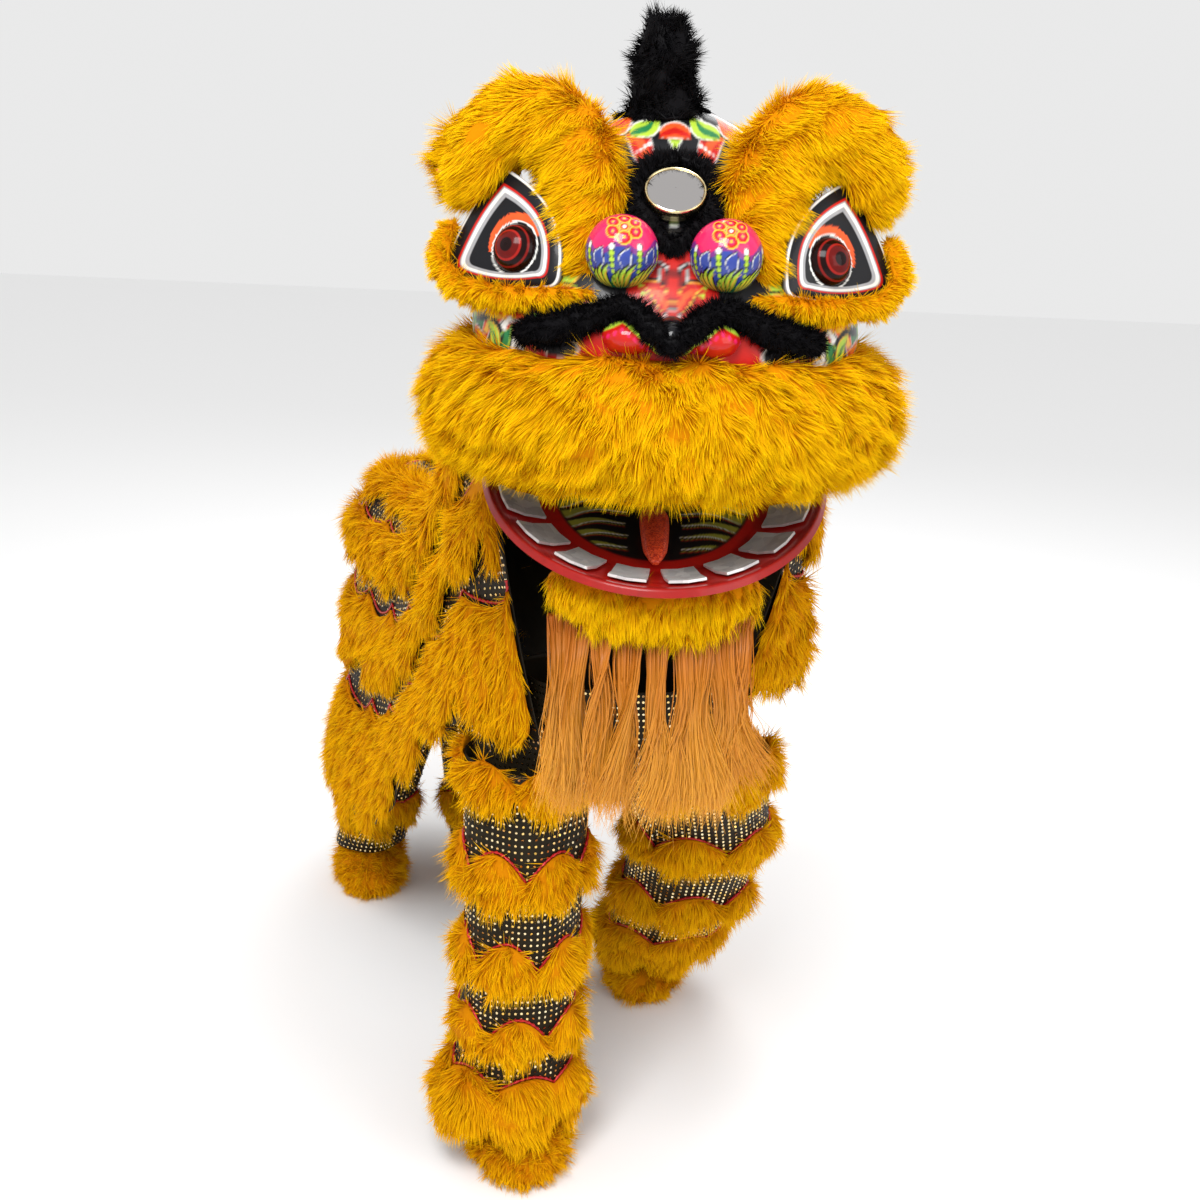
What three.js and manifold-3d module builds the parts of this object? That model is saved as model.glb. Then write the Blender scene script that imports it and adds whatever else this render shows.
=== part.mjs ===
// A southern lion dance costume for two performers, in the form it has when worn.
// The lion faces -Y. Left and right are the lion's own, so its left is +X. Sizes are in millimetres.
// Heights and places are measured from the floor, and the last group moves the grip to the origin.
import * as THREE from "three";
import { ParametricGeometry } from "three/addons/geometries/ParametricGeometry.js";
import { mergeVertices } from "three/addons/utils/BufferGeometryUtils.js";
import Module from "manifold-3d";

const wasm = await Module();
wasm.setup();

// Driving dimensions
const GRIP = { y: 60, z: 1500, radius: 9, half: 234 };
const HOOP = { z: 1497, tall: 14, thick: 5, inset: 3.5 };
const SEAT_GAP = 0.35;
const WELD = 1e-3;
const SHELL_WALL = 3;
const SHELL_HOLLOW = 43;
const SHELL_GRID = { columns: 20, rows: 6 };
const SHELL_CROWN = 3;
const SHELL_CLEARANCE = 0.8;
const CLOTH_WALL = 2.5;
const JAW = { hingeY: 50, hingeZ: 1380, drop: 17, halfWidth: 262, front: -320, back: 24, wall: 3, columns: 18 };
const HINGE = { pinRadius: 5, holeRadius: 6.2, strutX: 230, strutRadius: 8, footDrop: 8, pinEnd: 250 };
const LUG = { x: 246, wide: 6, reach: 15, drop: 27 };
const TEETH = { count: 8, pitch: 20, half: 7.6, low: 0.73, high: 0.97, thick: 4, lift: 4.1, narrow: 0.16 };
const EYE = { x: 226, y: -140, z: 1747, turn: 32, tip: 17, depth: 95, taper: 0.78, bevel: 0.93, bulge: 7 };
const EYEBALL = { radius: 34, out: -14, up: -12, sunk: 12 };
const MIRROR = { y: -133, z: 1819, radius: 43, thick: 6, behind: 54, tilt: 42 };
const BALL = { x: 71, y: -200, z: 1742, radius: 50, post: 90, postRadius: 5 };
const BALL_CLEARANCE = 1.2;
const EAR = { pinX: 232, y: 62, z: 1801, pinRadius: 4, holeRadius: 5.2, gap: 9, plate: 4, plateFrom: 190, plateHalf: 9 };

// The head shell's level sections, from the rim up: half width, and where its front and back lie
const SHELL_SECTIONS = [
  { z: 1490, halfWidth: 243, front: -222, back: 236 },
  { z: 1560, halfWidth: 272, front: -246, back: 246 },
  { z: 1620, halfWidth: 288, front: -252, back: 250 },
  { z: 1680, halfWidth: 276, front: -228, back: 248 },
  { z: 1740, halfWidth: 250, front: -186, back: 238 },
  { z: 1800, halfWidth: 214, front: -134, back: 212 },
  { z: 1865, halfWidth: 158, front: -70, back: 168 },
  { z: 1915, halfWidth: 88, front: -2, back: 118 },
  { z: 1940, halfWidth: 12, front: 44, back: 68 },
];
const SHELL_SQUARENESS = 2.4;
const SHELL_BACK_RIM = 0.3;

// The painted eye socket's outline, outward from its middle and upward, for the left eye
const EYE_OUTLINE = [
  { out: -74, up: -60, bendOut: -94, bendUp: -60 },
  { out: -92, up: -40, bendOut: -88, bendUp: 58 },
  { out: 38, up: 102, bendOut: 82, bendUp: 50 },
  { out: 106, up: -36, bendOut: 112, bendUp: -58 },
  { out: 88, up: -62, bendOut: 6, bendUp: -78 },
];

// Fur rolls of the left side: the centre line, half the width seen from the front, half the depth
const BROW_ROWS = [
  { x: 106, y: -182, z: 1672, wide: 26, deep: 26 },
  { x: 122, y: -160, z: 1740, wide: 42, deep: 38 },
  { x: 124, y: -130, z: 1815, wide: 60, deep: 48 },
  { x: 146, y: -106, z: 1880, wide: 70, deep: 56 },
  { x: 202, y: -92, z: 1912, wide: 72, deep: 60 },
  { x: 250, y: -84, z: 1894, wide: 66, deep: 60 },
  { x: 276, y: -86, z: 1846, wide: 50, deep: 50 },
  { x: 290, y: -88, z: 1796, wide: 36, deep: 36 },
];
const EYE_RIM_ROWS = [
  { x: 104, y: -208, z: 1686, wide: 16, deep: 18 },
  { x: 165, y: -206, z: 1677, wide: 17, deep: 19 },
  { x: 240, y: -172, z: 1673, wide: 18, deep: 21 },
  { x: 300, y: -122, z: 1678, wide: 22, deep: 25 },
  { x: 330, y: -94, z: 1716, wide: 25, deep: 27 },
  { x: 312, y: -84, z: 1768, wide: 27, deep: 27 },
];
const MIRROR_RING_ROWS = [
  { x: 0, y: -186, z: 1742, wide: 15, deep: 14 },
  { x: 34, y: -158, z: 1774, wide: 17, deep: 15 },
  { x: 58, y: -130, z: 1812, wide: 17, deep: 16 },
  { x: 44, y: -92, z: 1850, wide: 18, deep: 16 },
  { x: 0, y: -78, z: 1866, wide: 18, deep: 16 },
];
const MOUSTACHE_ROWS = [
  { x: -8, y: -290, z: 1624, wide: 15, deep: 14 },
  { x: 30, y: -274, z: 1652, wide: 17, deep: 15 },
  { x: 66, y: -242, z: 1680, wide: 17, deep: 15 },
  { x: 100, y: -238, z: 1662, wide: 15, deep: 14 },
  { x: 150, y: -228, z: 1645, wide: 15, deep: 13 },
  { x: 205, y: -200, z: 1637, wide: 15, deep: 13 },
];
const HORN_ROWS = [
  { z: 1888, x: -10, across: 54, alongY: 52 },
  { z: 1914, x: -14, across: 80, alongY: 58 },
  { z: 1938, x: -16, across: 58, alongY: 54 },
  { z: 1980, x: -18, across: 55, alongY: 50 },
  { z: 2040, x: -18, across: 46, alongY: 42 },
  { z: 2066, x: -18, across: 28, alongY: 26 },
];
const HORN = { y: 46, sides: 8, tuft: 0.07 };
const NOSE_LOBES = [
  { x: 0, y: -246, z: 1637, across: 44, deep: 46, tall: 30 },
  { x: -56, y: -238, z: 1634, across: 44, deep: 42, tall: 28 },
  { x: 56, y: -238, z: 1634, across: 44, deep: 42, tall: 28 },
];
const LIP = { half: 292, reach: 276, middleY: 34, z: 1516, droop: 10, tall: 102, deep: 86, ends: 97, keepOut: 1380 };

// Jaw pieces, measured from the hinge axis with the jaw level
// The tray's profile: how far out from the middle of its back edge, and its height
const JAW_PROFILE = [
  { out: 0, z: -45 },
  { out: 0.7, z: -45 },
  { out: 0.86, z: -26 },
  { out: 1, z: -1 },
  { out: 1.03, z: 3 },
  { out: 1.055, z: -7 },
];
const CHIN_ROWS = [
  { x: -162, y: -206, z: -60, wide: 32, deep: 30 },
  { x: -110, y: -254, z: -68, wide: 52, deep: 42 },
  { x: 0, y: -282, z: -72, wide: 56, deep: 46 },
  { x: 110, y: -254, z: -68, wide: 52, deep: 42 },
  { x: 162, y: -206, z: -60, wide: 32, deep: 30 },
];
const BEARD = { locks: 8, half: 142, y: -226, curve: 46, top: 1200, bottom: 880, wide: 27, deep: 14 };
const BEARD_FALL = { sway: 8, ragged: 34, sidesUp: 26, spread: 0.16, back: 26, stagger: 8 };
const TONGUE_ROWS = [
  { x: 0, y: -40, z: -34, wide: 24, deep: 12 },
  { x: 0, y: -110, z: -28, wide: 24, deep: 15 },
  { x: 0, y: -170, z: -27, wide: 21, deep: 15 },
  { x: 0, y: -216, z: -30, wide: 15, deep: 11 },
];

// Ear flap, measured from its pin outward, backward and up
const EAR_ROWS = [
  { out: 44, up: -8, wide: 15, deep: 16 },
  { out: 70, up: 0, wide: 32, deep: 25 },
  { out: 88, up: 32, wide: 36, deep: 27 },
  { out: 94, up: 64, wide: 27, deep: 22 },
  { out: 92, up: 92, wide: 12, deep: 12 },
];
const EAR_STEM = { reach: 56, half: 7, thick: 14, round: 9 };

// The blanket's stations from the neck to the rump: the spine's place, the section and its hem
const BLANKET_STATIONS = [
  { x: 0, y: 235.4, top: 1762, half: 276, arch: 250, hemLeft: 1000, hemRight: 872, flare: -110, lead: -95, fan: 0 },
  { x: -20, y: 330, top: 1640, half: 292, arch: 220, hemLeft: 950, hemRight: 840, flare: 10, lead: -60, fan: 0 },
  { x: -84, y: 470, top: 1420, half: 290, arch: 190, hemLeft: 850, hemRight: 720, flare: 30, lead: -20, fan: 0 },
  { x: -170, y: 640, top: 1246, half: 270, arch: 165, hemLeft: 650, hemRight: 550, flare: 44, lead: 0, fan: 0 },
  { x: -254, y: 820, top: 1176, half: 252, arch: 155, hemLeft: 470, hemRight: 400, flare: 54, lead: 0, fan: 0 },
  { x: -330, y: 990, top: 1152, half: 244, arch: 150, hemLeft: 370, hemRight: 326, flare: 62, lead: 0, fan: 0 },
  { x: -398, y: 1140, top: 1136, half: 246, arch: 150, hemLeft: 310, hemRight: 290, flare: 66, lead: 0, fan: 12 },
  { x: -440, y: 1236, top: 1114, half: 246, arch: 150, hemLeft: 280, hemRight: 275, flare: 64, lead: 0, fan: 38 },
  { x: -456, y: 1272, top: 1100, half: 240, arch: 150, hemLeft: 270, hemRight: 270, flare: 58, lead: 0, fan: 66 },
  { x: -460, y: 1284, top: 1096, half: 236, arch: 150, hemLeft: 270, hemRight: 270, flare: 54, lead: 0, fan: 90 },
];
const BLANKET_TURN = 24;
const BLANKET_GRID = { columns: 18, fold: 8, shoulder: 0.38, tail: 700 };

// The blanket cloth's lines from the spine to the hem, as fractions of the way round it
const BLANKET_LINES = [0, 0.15, 0.34, 0.54, 0.77, 1];

// The rows of fur on each side: the cloth line each is sewn along, how far its tips and the dips
// between them reach, its loft at the middle and at the tips, and how far its top edge rises
const BLANKET_FUR_ROWS = [
  { line: 1, tips: 0.322, dips: 0.27, loft: 36, end: 22, rise: 0.025 },
  { line: 2, tips: 0.522, dips: 0.46, loft: 42, end: 24, rise: 0.035 },
  { line: 3, tips: 0.75, dips: 0.67, loft: 44, end: 26, rise: 0.035 },
  { line: 4, tips: 1.07, dips: 1.012, loft: 46, end: 28, rise: 0.04 },
];
const SPINE_FUR = { half: 0.115, dip: 0.09, loft: 36 };
const SEWN_GAP = 0.7;
const HANG_GAP = 8;
const REAR_SEAM = 0.985;

// Trouser legs, from the hem up: centre, half width, half depth, and the fur tier sewn there: its
// hair's length, its loft at the middle and at the tips, and how far its scalloped top edge rises
const FRONT_LEFT_LEG = [
  { z: 112, x: 78, y: 762, across: 116, deep: 118, hair: 0, loft: 0, tips: 0, rise: 0 },
  { z: 200, x: 104, y: 700, across: 122, deep: 120, hair: 140, loft: 44, tips: 40, rise: 30 },
  { z: 360, x: 138, y: 592, across: 130, deep: 122, hair: 116, loft: 46, tips: 28, rise: 34 },
  { z: 560, x: 150, y: 466, across: 138, deep: 124, hair: 110, loft: 46, tips: 28, rise: 34 },
  { z: 800, x: 110, y: 304, across: 138, deep: 124, hair: 146, loft: 46, tips: 26, rise: 12 },
];
const FRONT_RIGHT_LEG = [
  { z: 108, x: -222, y: 168, across: 122, deep: 118, hair: 0, loft: 0, tips: 0, rise: 0 },
  { z: 190, x: -206, y: 170, across: 110, deep: 110, hair: 132, loft: 50, tips: 54, rise: 28 },
  { z: 310, x: -200, y: 172, across: 107, deep: 106, hair: 92, loft: 38, tips: 26, rise: 30 },
  { z: 456, x: -198, y: 180, across: 107, deep: 108, hair: 104, loft: 40, tips: 26, rise: 34 },
  { z: 626, x: -198, y: 204, across: 110, deep: 110, hair: 108, loft: 40, tips: 26, rise: 30 },
  { z: 800, x: -194, y: 254, across: 118, deep: 114, hair: 112, loft: 42, tips: 26, rise: 12 },
];
const FRONT_WAIST = [
  { z: 752, x: -43, y: 275, across: 268, deep: 118 },
  { z: 836, x: -43, y: 273, across: 252, deep: 122 },
  { z: 900, x: -38, y: 269, across: 216, deep: 118 },
  { z: 960, x: -36, y: 267, across: 184, deep: 112 },
];
const REAR_LEFT_LEG = [
  { z: 112, x: -350, y: 1262, across: 88.9, deep: 98.2, hair: 0, loft: 0, tips: 0, rise: 0 },
  { z: 250, x: -354, y: 1240, across: 94, deep: 96, hair: 124, loft: 30, tips: 20, rise: 12 },
  { z: 460, x: -372, y: 1214, across: 94, deep: 98, hair: 0, loft: 0, tips: 0, rise: 0 },
  { z: 690, x: -404, y: 1180, across: 98, deep: 104, hair: 0, loft: 0, tips: 0, rise: 0 },
];
const REAR_RIGHT_LEG = [
  { z: 112, x: -643, y: 1214, across: 88.8, deep: 99.6, hair: 0, loft: 0, tips: 0, rise: 0 },
  { z: 250, x: -608, y: 1190, across: 84, deep: 92, hair: 124, loft: 26, tips: 16, rise: 12 },
  { z: 460, x: -546, y: 1168, across: 90, deep: 96, hair: 0, loft: 0, tips: 0, rise: 0 },
  { z: 690, x: -486, y: 1164, across: 96, deep: 104, hair: 0, loft: 0, tips: 0, rise: 0 },
];
const REAR_WAIST = [
  { z: 640, x: -446, y: 1168, across: 146, deep: 108 },
  { z: 740, x: -444, y: 1166, across: 150, deep: 112 },
  { z: 860, x: -436, y: 1152, across: 142, deep: 106 },
];
const LEG_SIDES = 12;
const TROUSER_FOLD = { depth: 0.03, folds: 5, drift: 1.7 };
const PAST_END = 12;
const FAR = 2000;

// Shoe covers from the floor up: half width, half length, and how far the middle leans forward
const SHOE_ROWS = [
  { z: 0, across: 88, along: 128, lean: 26 },
  { z: 34, across: 100, along: 142, lean: 26 },
  { z: 72, across: 94, along: 126, lean: 18 },
  { z: 108, across: 76, along: 92, lean: 4 },
  { z: 138, across: 60, along: 64, lean: -6 },
];
const SHOE_FUR = 22;
const SHOE_PLACES = [
  { name: "shoe_cover_front_right", x: -184, y: 169.6, turn: 6 },
  { name: "shoe_cover_front_left", x: 70, y: 785.8, turn: -8 },
  { name: "shoe_cover_rear_right", x: -644, y: 1214, turn: 12 },
  { name: "shoe_cover_rear_left", x: -350, y: 1262, turn: 4 },
];
const SHOE_SIDES = 8;
const SHOE_TUFT = 0.04;

// Finishes, with the colours, roughness and metalness seen in the photo
const FINISHES = {
  yellowFur: { color: 0xf0b90a, roughness: 0.95, metalness: 0 },
  blackFur: { color: 0x0c0b0d, roughness: 0.9, metalness: 0 },
  beardHair: { color: 0xe08a3c, roughness: 0.6, metalness: 0 },
  sequinCloth: { color: 0x2a2217, roughness: 0.45, metalness: 0.3 },
  paintedShell: { color: 0xc23a24, roughness: 0.25, metalness: 0 },
  paintedPanel: { color: 0xd8d8d2, roughness: 0.2, metalness: 0 },
  glossyEye: { color: 0x3a0a08, roughness: 0.08, metalness: 0 },
  mirror: { color: 0xd6d8da, roughness: 0.05, metalness: 1 },
  paintedBall: { color: 0x3b4a9c, roughness: 0.12, metalness: 0 },
  redPaint: { color: 0xcf1d1a, roughness: 0.25, metalness: 0 },
  silverFoil: { color: 0xc9c8c2, roughness: 0.3, metalness: 0.6 },
  redGlitter: { color: 0xb0160f, roughness: 0.4, metalness: 0.4 },
  cane: { color: 0xb08a52, roughness: 0.7, metalness: 0 },
};

const degrees = (angle) => THREE.MathUtils.degToRad(angle);
const at = (x, y, z) => new THREE.Vector3(x, y, z);
const signedPower = (value, power) => Math.sign(value) * Math.abs(value) ** power;
const mirrored = (rows) => rows.map((row) => ({ ...row, x: -row.x }));
const sideRows = (rows, side) => (side > 0 ? rows : mirrored(rows));
const around = (step, steps) => (2 * Math.PI * step) / steps;
const BACKWARD = at(0, 1, 0);
const UPWARD = at(0, 0, 1);

// A mesh's position-only geometry from its points and its triangles, turned to face outward
function geometryOf(points, faces) {
  const flat = points.flatMap((point) => [point.x, point.y, point.z]);
  let volume = 0;
  for (let i = 0; i < faces.length; i += 3) {
    const [a, b, c] = [points[faces[i]], points[faces[i + 1]], points[faces[i + 2]]];
    volume += a.dot(new THREE.Vector3().crossVectors(b, c));
  }
  const geometry = new THREE.BufferGeometry();
  geometry.setAttribute("position", new THREE.Float32BufferAttribute(flat, 3));
  geometry.setIndex(volume < 0 ? faces.reverse() : faces);
  return geometry;
}

// Joins a surface's shared points and drops the triangles that shrink to a line
function weld(geometry) {
  const bare = new THREE.BufferGeometry();
  bare.setAttribute("position", geometry.getAttribute("position"));
  bare.setIndex(geometry.getIndex());
  const joined = mergeVertices(bare, WELD);
  const index = joined.getIndex().array;
  const kept = [];
  for (let i = 0; i < index.length; i += 3) {
    const [a, b, c] = [index[i], index[i + 1], index[i + 2]];
    if (a !== b && b !== c && c !== a) kept.push(a, b, c);
  }
  joined.setIndex(kept);
  return joined;
}

// A surface's points moved outward along its own normals
function grown(skin, offset) {
  const position = skin.getAttribute("position");
  const normal = skin.getAttribute("normal");
  return Array.from({ length: position.count }, (unused, i) => {
    const outward = new THREE.Vector3().fromBufferAttribute(normal, i);
    return new THREE.Vector3().fromBufferAttribute(position, i).addScaledVector(outward, offset);
  });
}

// The edges that only one triangle has
function openEdges(index) {
  const open = new Map();
  for (let i = 0; i < index.length; i += 3) {
    const corners = [index[i], index[i + 1], index[i + 2]];
    corners.forEach((a, side) => {
      const b = corners[(side + 1) % 3];
      if (!open.delete(b + "," + a)) open.set(a + "," + b, [a, b]);
    });
  }
  return [...open.values()];
}

// Gives an open surface a wall: its outer face pushed out by grow, its inner face thickness behind
function wall(surface, thickness, grow = 0) {
  const skin = weld(surface);
  skin.computeVertexNormals();
  const count = skin.getAttribute("position").count;
  const outer = [...skin.getIndex().array];
  const faces = [...outer, ...[...outer].reverse().map((corner) => corner + count)];
  for (const [a, b] of openEdges(outer)) faces.push(b, a, a + count, b, a + count, b + count);
  return geometryOf([...grown(skin, grow), ...grown(skin, -thickness - grow)], faces);
}

// The quads between rings of equally many points, each ring closed on itself
function ringFaces(rings, sides, closed) {
  const faces = [];
  for (let ring = 1; ring < rings + (closed ? 1 : 0); ring += 1) {
    for (let side = 0; side < sides; side += 1) {
      const next = (side + 1) % sides;
      const [a, b] = [(ring - 1) * sides + side, (ring - 1) * sides + next];
      const [c, d] = [(ring % rings) * sides + side, (ring % rings) * sides + next];
      faces.push(a, b, d, a, d, c);
    }
  }
  return faces;
}

// Joins rings into one solid, closed by a fan at each end
function loft(rings) {
  const sides = rings[0].length;
  const points = rings.flat();
  const faces = ringFaces(rings.length, sides, false);
  for (const start of [0, (rings.length - 1) * sides]) {
    const middle = new THREE.Vector3();
    for (let side = 0; side < sides; side += 1) middle.add(points[start + side]);
    points.push(middle.divideScalar(sides));
    const hub = points.length - 1;
    for (let side = 0; side < sides; side += 1) {
      const [a, b] = [start + side, start + ((side + 1) % sides)];
      faces.push(...(start === 0 ? [b, a, hub] : [a, b, hub]));
    }
  }
  return geometryOf(points, faces);
}

// Joins equal cross-sections into a ring that closes on itself
const closedRing = (sections) => geometryOf(sections.flat(), ringFaces(sections.length, sections[0].length, true));

// A smooth reading of a table between its rows, from 0 at its first row to 1 at its last
function between(rows) {
  const columns = Object.keys(rows[0]);
  const stations = rows.map((row, i) => i / (rows.length - 1));
  const values = rows.flatMap((row) => columns.map((column) => row[column]));
  const curve = new THREE.CubicInterpolant(stations, values, columns.length);
  return (place) => {
    const read = curve.evaluate(THREE.MathUtils.clamp(place, 0, 1));
    return Object.fromEntries(columns.map((column, i) => [column, read[i]]));
  };
}

// A furry roll along a table's centre line: oval rings, rounded ends, and tufts as a low relief
function roll(rows, { rings, sides, depthAxis, tuft = 0.05, blunt = 0.09, grow = 0 }) {
  const path = new THREE.CatmullRomCurve3(rows.map((row) => at(row.x, row.y, row.z)));
  const read = between(rows);
  const loops = [];
  for (let ring = 0; ring <= rings; ring += 1) {
    const place = ring / rings;
    const along = path.getTangent(place);
    const deepWay = depthAxis.clone().addScaledVector(along, -depthAxis.dot(along)).normalize();
    const wideWay = new THREE.Vector3().crossVectors(along, deepWay);
    const toEnd = Math.min(1, (Math.min(place, 1 - place) + 0.012) / blunt);
    const rounding = Math.sqrt(1 - (1 - toEnd) ** 2);
    const { wide, deep } = read(place);
    const loop = [];
    for (let side = 0; side < sides; side += 1) {
      const turn = around(side, sides);
      const relief = rounding * (1 + ((ring + side) % 2 ? tuft : -tuft));
      const point = path.getPoint(place);
      point.addScaledVector(wideWay, (wide * relief + grow) * Math.cos(turn));
      point.addScaledVector(deepWay, (deep * relief + grow) * Math.sin(turn));
      loop.push(point);
    }
    loops.push(loop);
  }
  return loft(loops);
}

function solid(geometry) {
  const joined = weld(geometry);
  return new wasm.Manifold(
    new wasm.Mesh({
      numProp: 3,
      vertProperties: Float32Array.from(joined.getAttribute("position").array),
      triVerts: Uint32Array.from(joined.getIndex().array),
    }),
  );
}

// The largest body of a cut solid, as a geometry again
function geometryFrom(manifold) {
  const bodies = manifold.decompose();
  const largest = bodies.reduce((best, body) => (body.volume() > best.volume() ? body : best));
  const mesh = largest.getMesh();
  const geometry = new THREE.BufferGeometry();
  const positions = [];
  for (let i = 0; i < mesh.numVert; i += 1) {
    positions.push(...mesh.vertProperties.subarray(i * mesh.numProp, i * mesh.numProp + 3));
  }
  geometry.setAttribute("position", new THREE.Float32BufferAttribute(positions, 3));
  geometry.setIndex([...mesh.triVerts]);
  return geometry;
}

const join = (...parts) => geometryFrom(parts.map(solid).reduce((whole, part) => whole.add(part)));
const cut = (part, ...tools) => geometryFrom(tools.map(solid).reduce((rest, tool) => rest.subtract(tool), solid(part)));

function piece(name, geometry, finish) {
  const flat = geometry.toNonIndexed();
  flat.computeVertexNormals();
  const mesh = new THREE.Mesh(flat, new THREE.MeshStandardMaterial(FINISHES[finish]));
  mesh.name = name;
  return mesh;
}

function box(low, high) {
  const size = high.clone().sub(low);
  const middle = low.clone().add(high).multiplyScalar(0.5);
  return new THREE.BoxGeometry(size.x, size.y, size.z).translate(middle.x, middle.y, middle.z);
}

// A round bar between two points
function bar(from, to, radius, sides = 10) {
  const way = to.clone().sub(from);
  const geometry = new THREE.CylinderGeometry(radius, radius, way.length(), sides);
  geometry.applyQuaternion(new THREE.Quaternion().setFromUnitVectors(BACKWARD, way.normalize()));
  const middle = from.clone().add(to).multiplyScalar(0.5);
  return geometry.translate(middle.x, middle.y, middle.z);
}

// Head shell

const shellSection = between(SHELL_SECTIONS);

// A point of the shell at a turn from the front, at a height given as a fraction of its table
function shellPoint(turn, height, grow = 0) {
  const { z, halfWidth, front, back } = shellSection(height);
  const angle = 2 * Math.PI * (turn % 1);
  const power = 2 / SHELL_SQUARENESS;
  const x = (halfWidth + grow) * signedPower(Math.sin(angle), power);
  const y = (front + back) / 2 - ((back - front) / 2 + grow) * signedPower(Math.cos(angle), power);
  return at(x, y, z);
}

function shellSurface() {
  const top = SHELL_SECTIONS[SHELL_SECTIONS.length - 1];
  const crown = at(0, (top.front + top.back) / 2, top.z + SHELL_CROWN);
  const rimAt = (turn) => SHELL_BACK_RIM * THREE.MathUtils.smoothstep(-Math.cos(2 * Math.PI * turn), 0.1, 0.9);
  const place = (u, v, target) => {
    const rim = rimAt(u % 1);
    target.copy(v === 1 ? crown : shellPoint(u, rim + (1 - rim) * v));
  };
  return new ParametricGeometry(place, SHELL_GRID.columns, SHELL_GRID.rows);
}

// The space that the shell encloses, a little larger, its rim carried straight down and closed
function shellBlock() {
  const skin = weld(shellSurface());
  skin.computeVertexNormals();
  const count = skin.getAttribute("position").count;
  const points = grown(skin, SHELL_CLEARANCE);
  points.push(...points.map((point) => at(point.x, point.y, LIP.keepOut)), at(0, 0, LIP.keepOut));
  const faces = [...skin.getIndex().array];
  for (const [a, b] of openEdges(faces)) {
    const [lowA, lowB, middle] = [a + count, b + count, 2 * count];
    faces.push(b, a, lowA, b, lowA, lowB, lowB, lowA, middle);
  }
  return geometryOf(points, faces);
}

// Two plates that stand out of the shell's side, and the pin between them that the ear turns on
function earYoke(side) {
  const [near, far] = [side * EAR.plateFrom, side * (EAR.pinX + EAR.plateHalf)];
  const parts = [-1, 1].map((face) => {
    const [low, high] = [EAR.y + face * EAR.gap, EAR.y + face * (EAR.gap + EAR.plate)].sort((a, b) => a - b);
    return box(
      at(Math.min(near, far), low, EAR.z - EAR.plateHalf),
      at(Math.max(near, far), high, EAR.z + EAR.plateHalf),
    );
  });
  const reach = EAR.gap + EAR.plate / 2;
  const pinX = side * EAR.pinX;
  return [...parts, bar(at(pinX, EAR.y - reach, EAR.z), at(pinX, EAR.y + reach, EAR.z), EAR.pinRadius, 8)];
}

function headShell() {
  const shell = solid(wall(shellSurface(), SHELL_WALL));
  const hollow = solid(wall(shellSurface(), SHELL_HOLLOW)).subtract(shell);
  const yokes = [1, -1].flatMap(earYoke).map(solid).reduce((whole, part) => whole.add(part));
  return geometryFrom(shell.add(yokes.subtract(hollow)));
}

// The cane frame inside: a flat hoop at the rim, the grip bar, and a strut down to each jaw pin
function headFrame() {
  const sections = [];
  for (let column = 0; column < SHELL_GRID.columns; column += 1) {
    const outer = shellPoint(column / SHELL_GRID.columns, 0, -HOOP.inset);
    const inner = shellPoint(column / SHELL_GRID.columns, 0, -HOOP.inset - HOOP.thick);
    const [low, high] = [HOOP.z - HOOP.tall / 2, HOOP.z + HOOP.tall / 2];
    sections.push([outer.clone().setZ(low), outer.clone().setZ(high), inner.clone().setZ(high), inner.clone().setZ(low)]);
  }
  const grip = bar(at(-GRIP.half, GRIP.y, GRIP.z), at(GRIP.half, GRIP.y, GRIP.z), GRIP.radius, 8);
  const parts = [closedRing(sections), grip];
  for (const side of [-1, 1]) {
    const foot = at(side * HINGE.strutX, JAW.hingeY, JAW.hingeZ - HINGE.footDrop);
    parts.push(bar(foot.clone().setZ(GRIP.z), foot, HINGE.strutRadius, 6));
    const pinStart = at(side * HINGE.strutX, JAW.hingeY, JAW.hingeZ);
    parts.push(bar(pinStart, at(side * HINGE.pinEnd, JAW.hingeY, JAW.hingeZ), HINGE.pinRadius, 8));
  }
  return join(...parts);
}

// Face pieces

// The frame of an eye socket: across it outward, up it, and out of it
function eyeFrame(side) {
  const turned = new THREE.Euler(degrees(-EYE.tip), 0, side * degrees(EYE.turn), "ZXY");
  const rotation = new THREE.Matrix4().makeRotationFromEuler(turned);
  const out = at(side, 0, 0).applyMatrix4(rotation);
  const up = at(0, 0, 1).applyMatrix4(rotation);
  const face = at(0, -1, 0).applyMatrix4(rotation);
  return { middle: at(side * EYE.x, EYE.y, EYE.z), out, up, face };
}

function eyeOutline() {
  const shape = new THREE.Shape();
  shape.moveTo(EYE_OUTLINE[0].out, EYE_OUTLINE[0].up);
  EYE_OUTLINE.forEach((corner, i) => {
    const next = EYE_OUTLINE[(i + 1) % EYE_OUTLINE.length];
    shape.quadraticCurveTo(corner.bendOut, corner.bendUp, next.out, next.up);
  });
  return shape.getPoints(3).slice(0, -1);
}

function eyeSocket(side, grow = 0) {
  const { middle, out, up, face } = eyeFrame(side);
  const outline = eyeOutline();
  const ring = (scale, depth) =>
    outline.map((point) => {
      const reach = scale + grow / point.length();
      const place = middle.clone().addScaledVector(out, point.x * reach);
      return place.addScaledVector(up, point.y * reach).addScaledVector(face, depth);
    });
  return loft([ring(EYE.bevel, EYE.bulge + grow), ring(1, grow), ring(EYE.taper, -EYE.depth)]);
}

function eyeball(side) {
  const { middle, out, up, face } = eyeFrame(side);
  const place = middle.clone().addScaledVector(out, EYEBALL.out).addScaledVector(up, EYEBALL.up);
  place.addScaledVector(face, -EYEBALL.sunk);
  return new THREE.SphereGeometry(EYEBALL.radius, 12, 8).translate(place.x, place.y, place.z);
}

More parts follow.
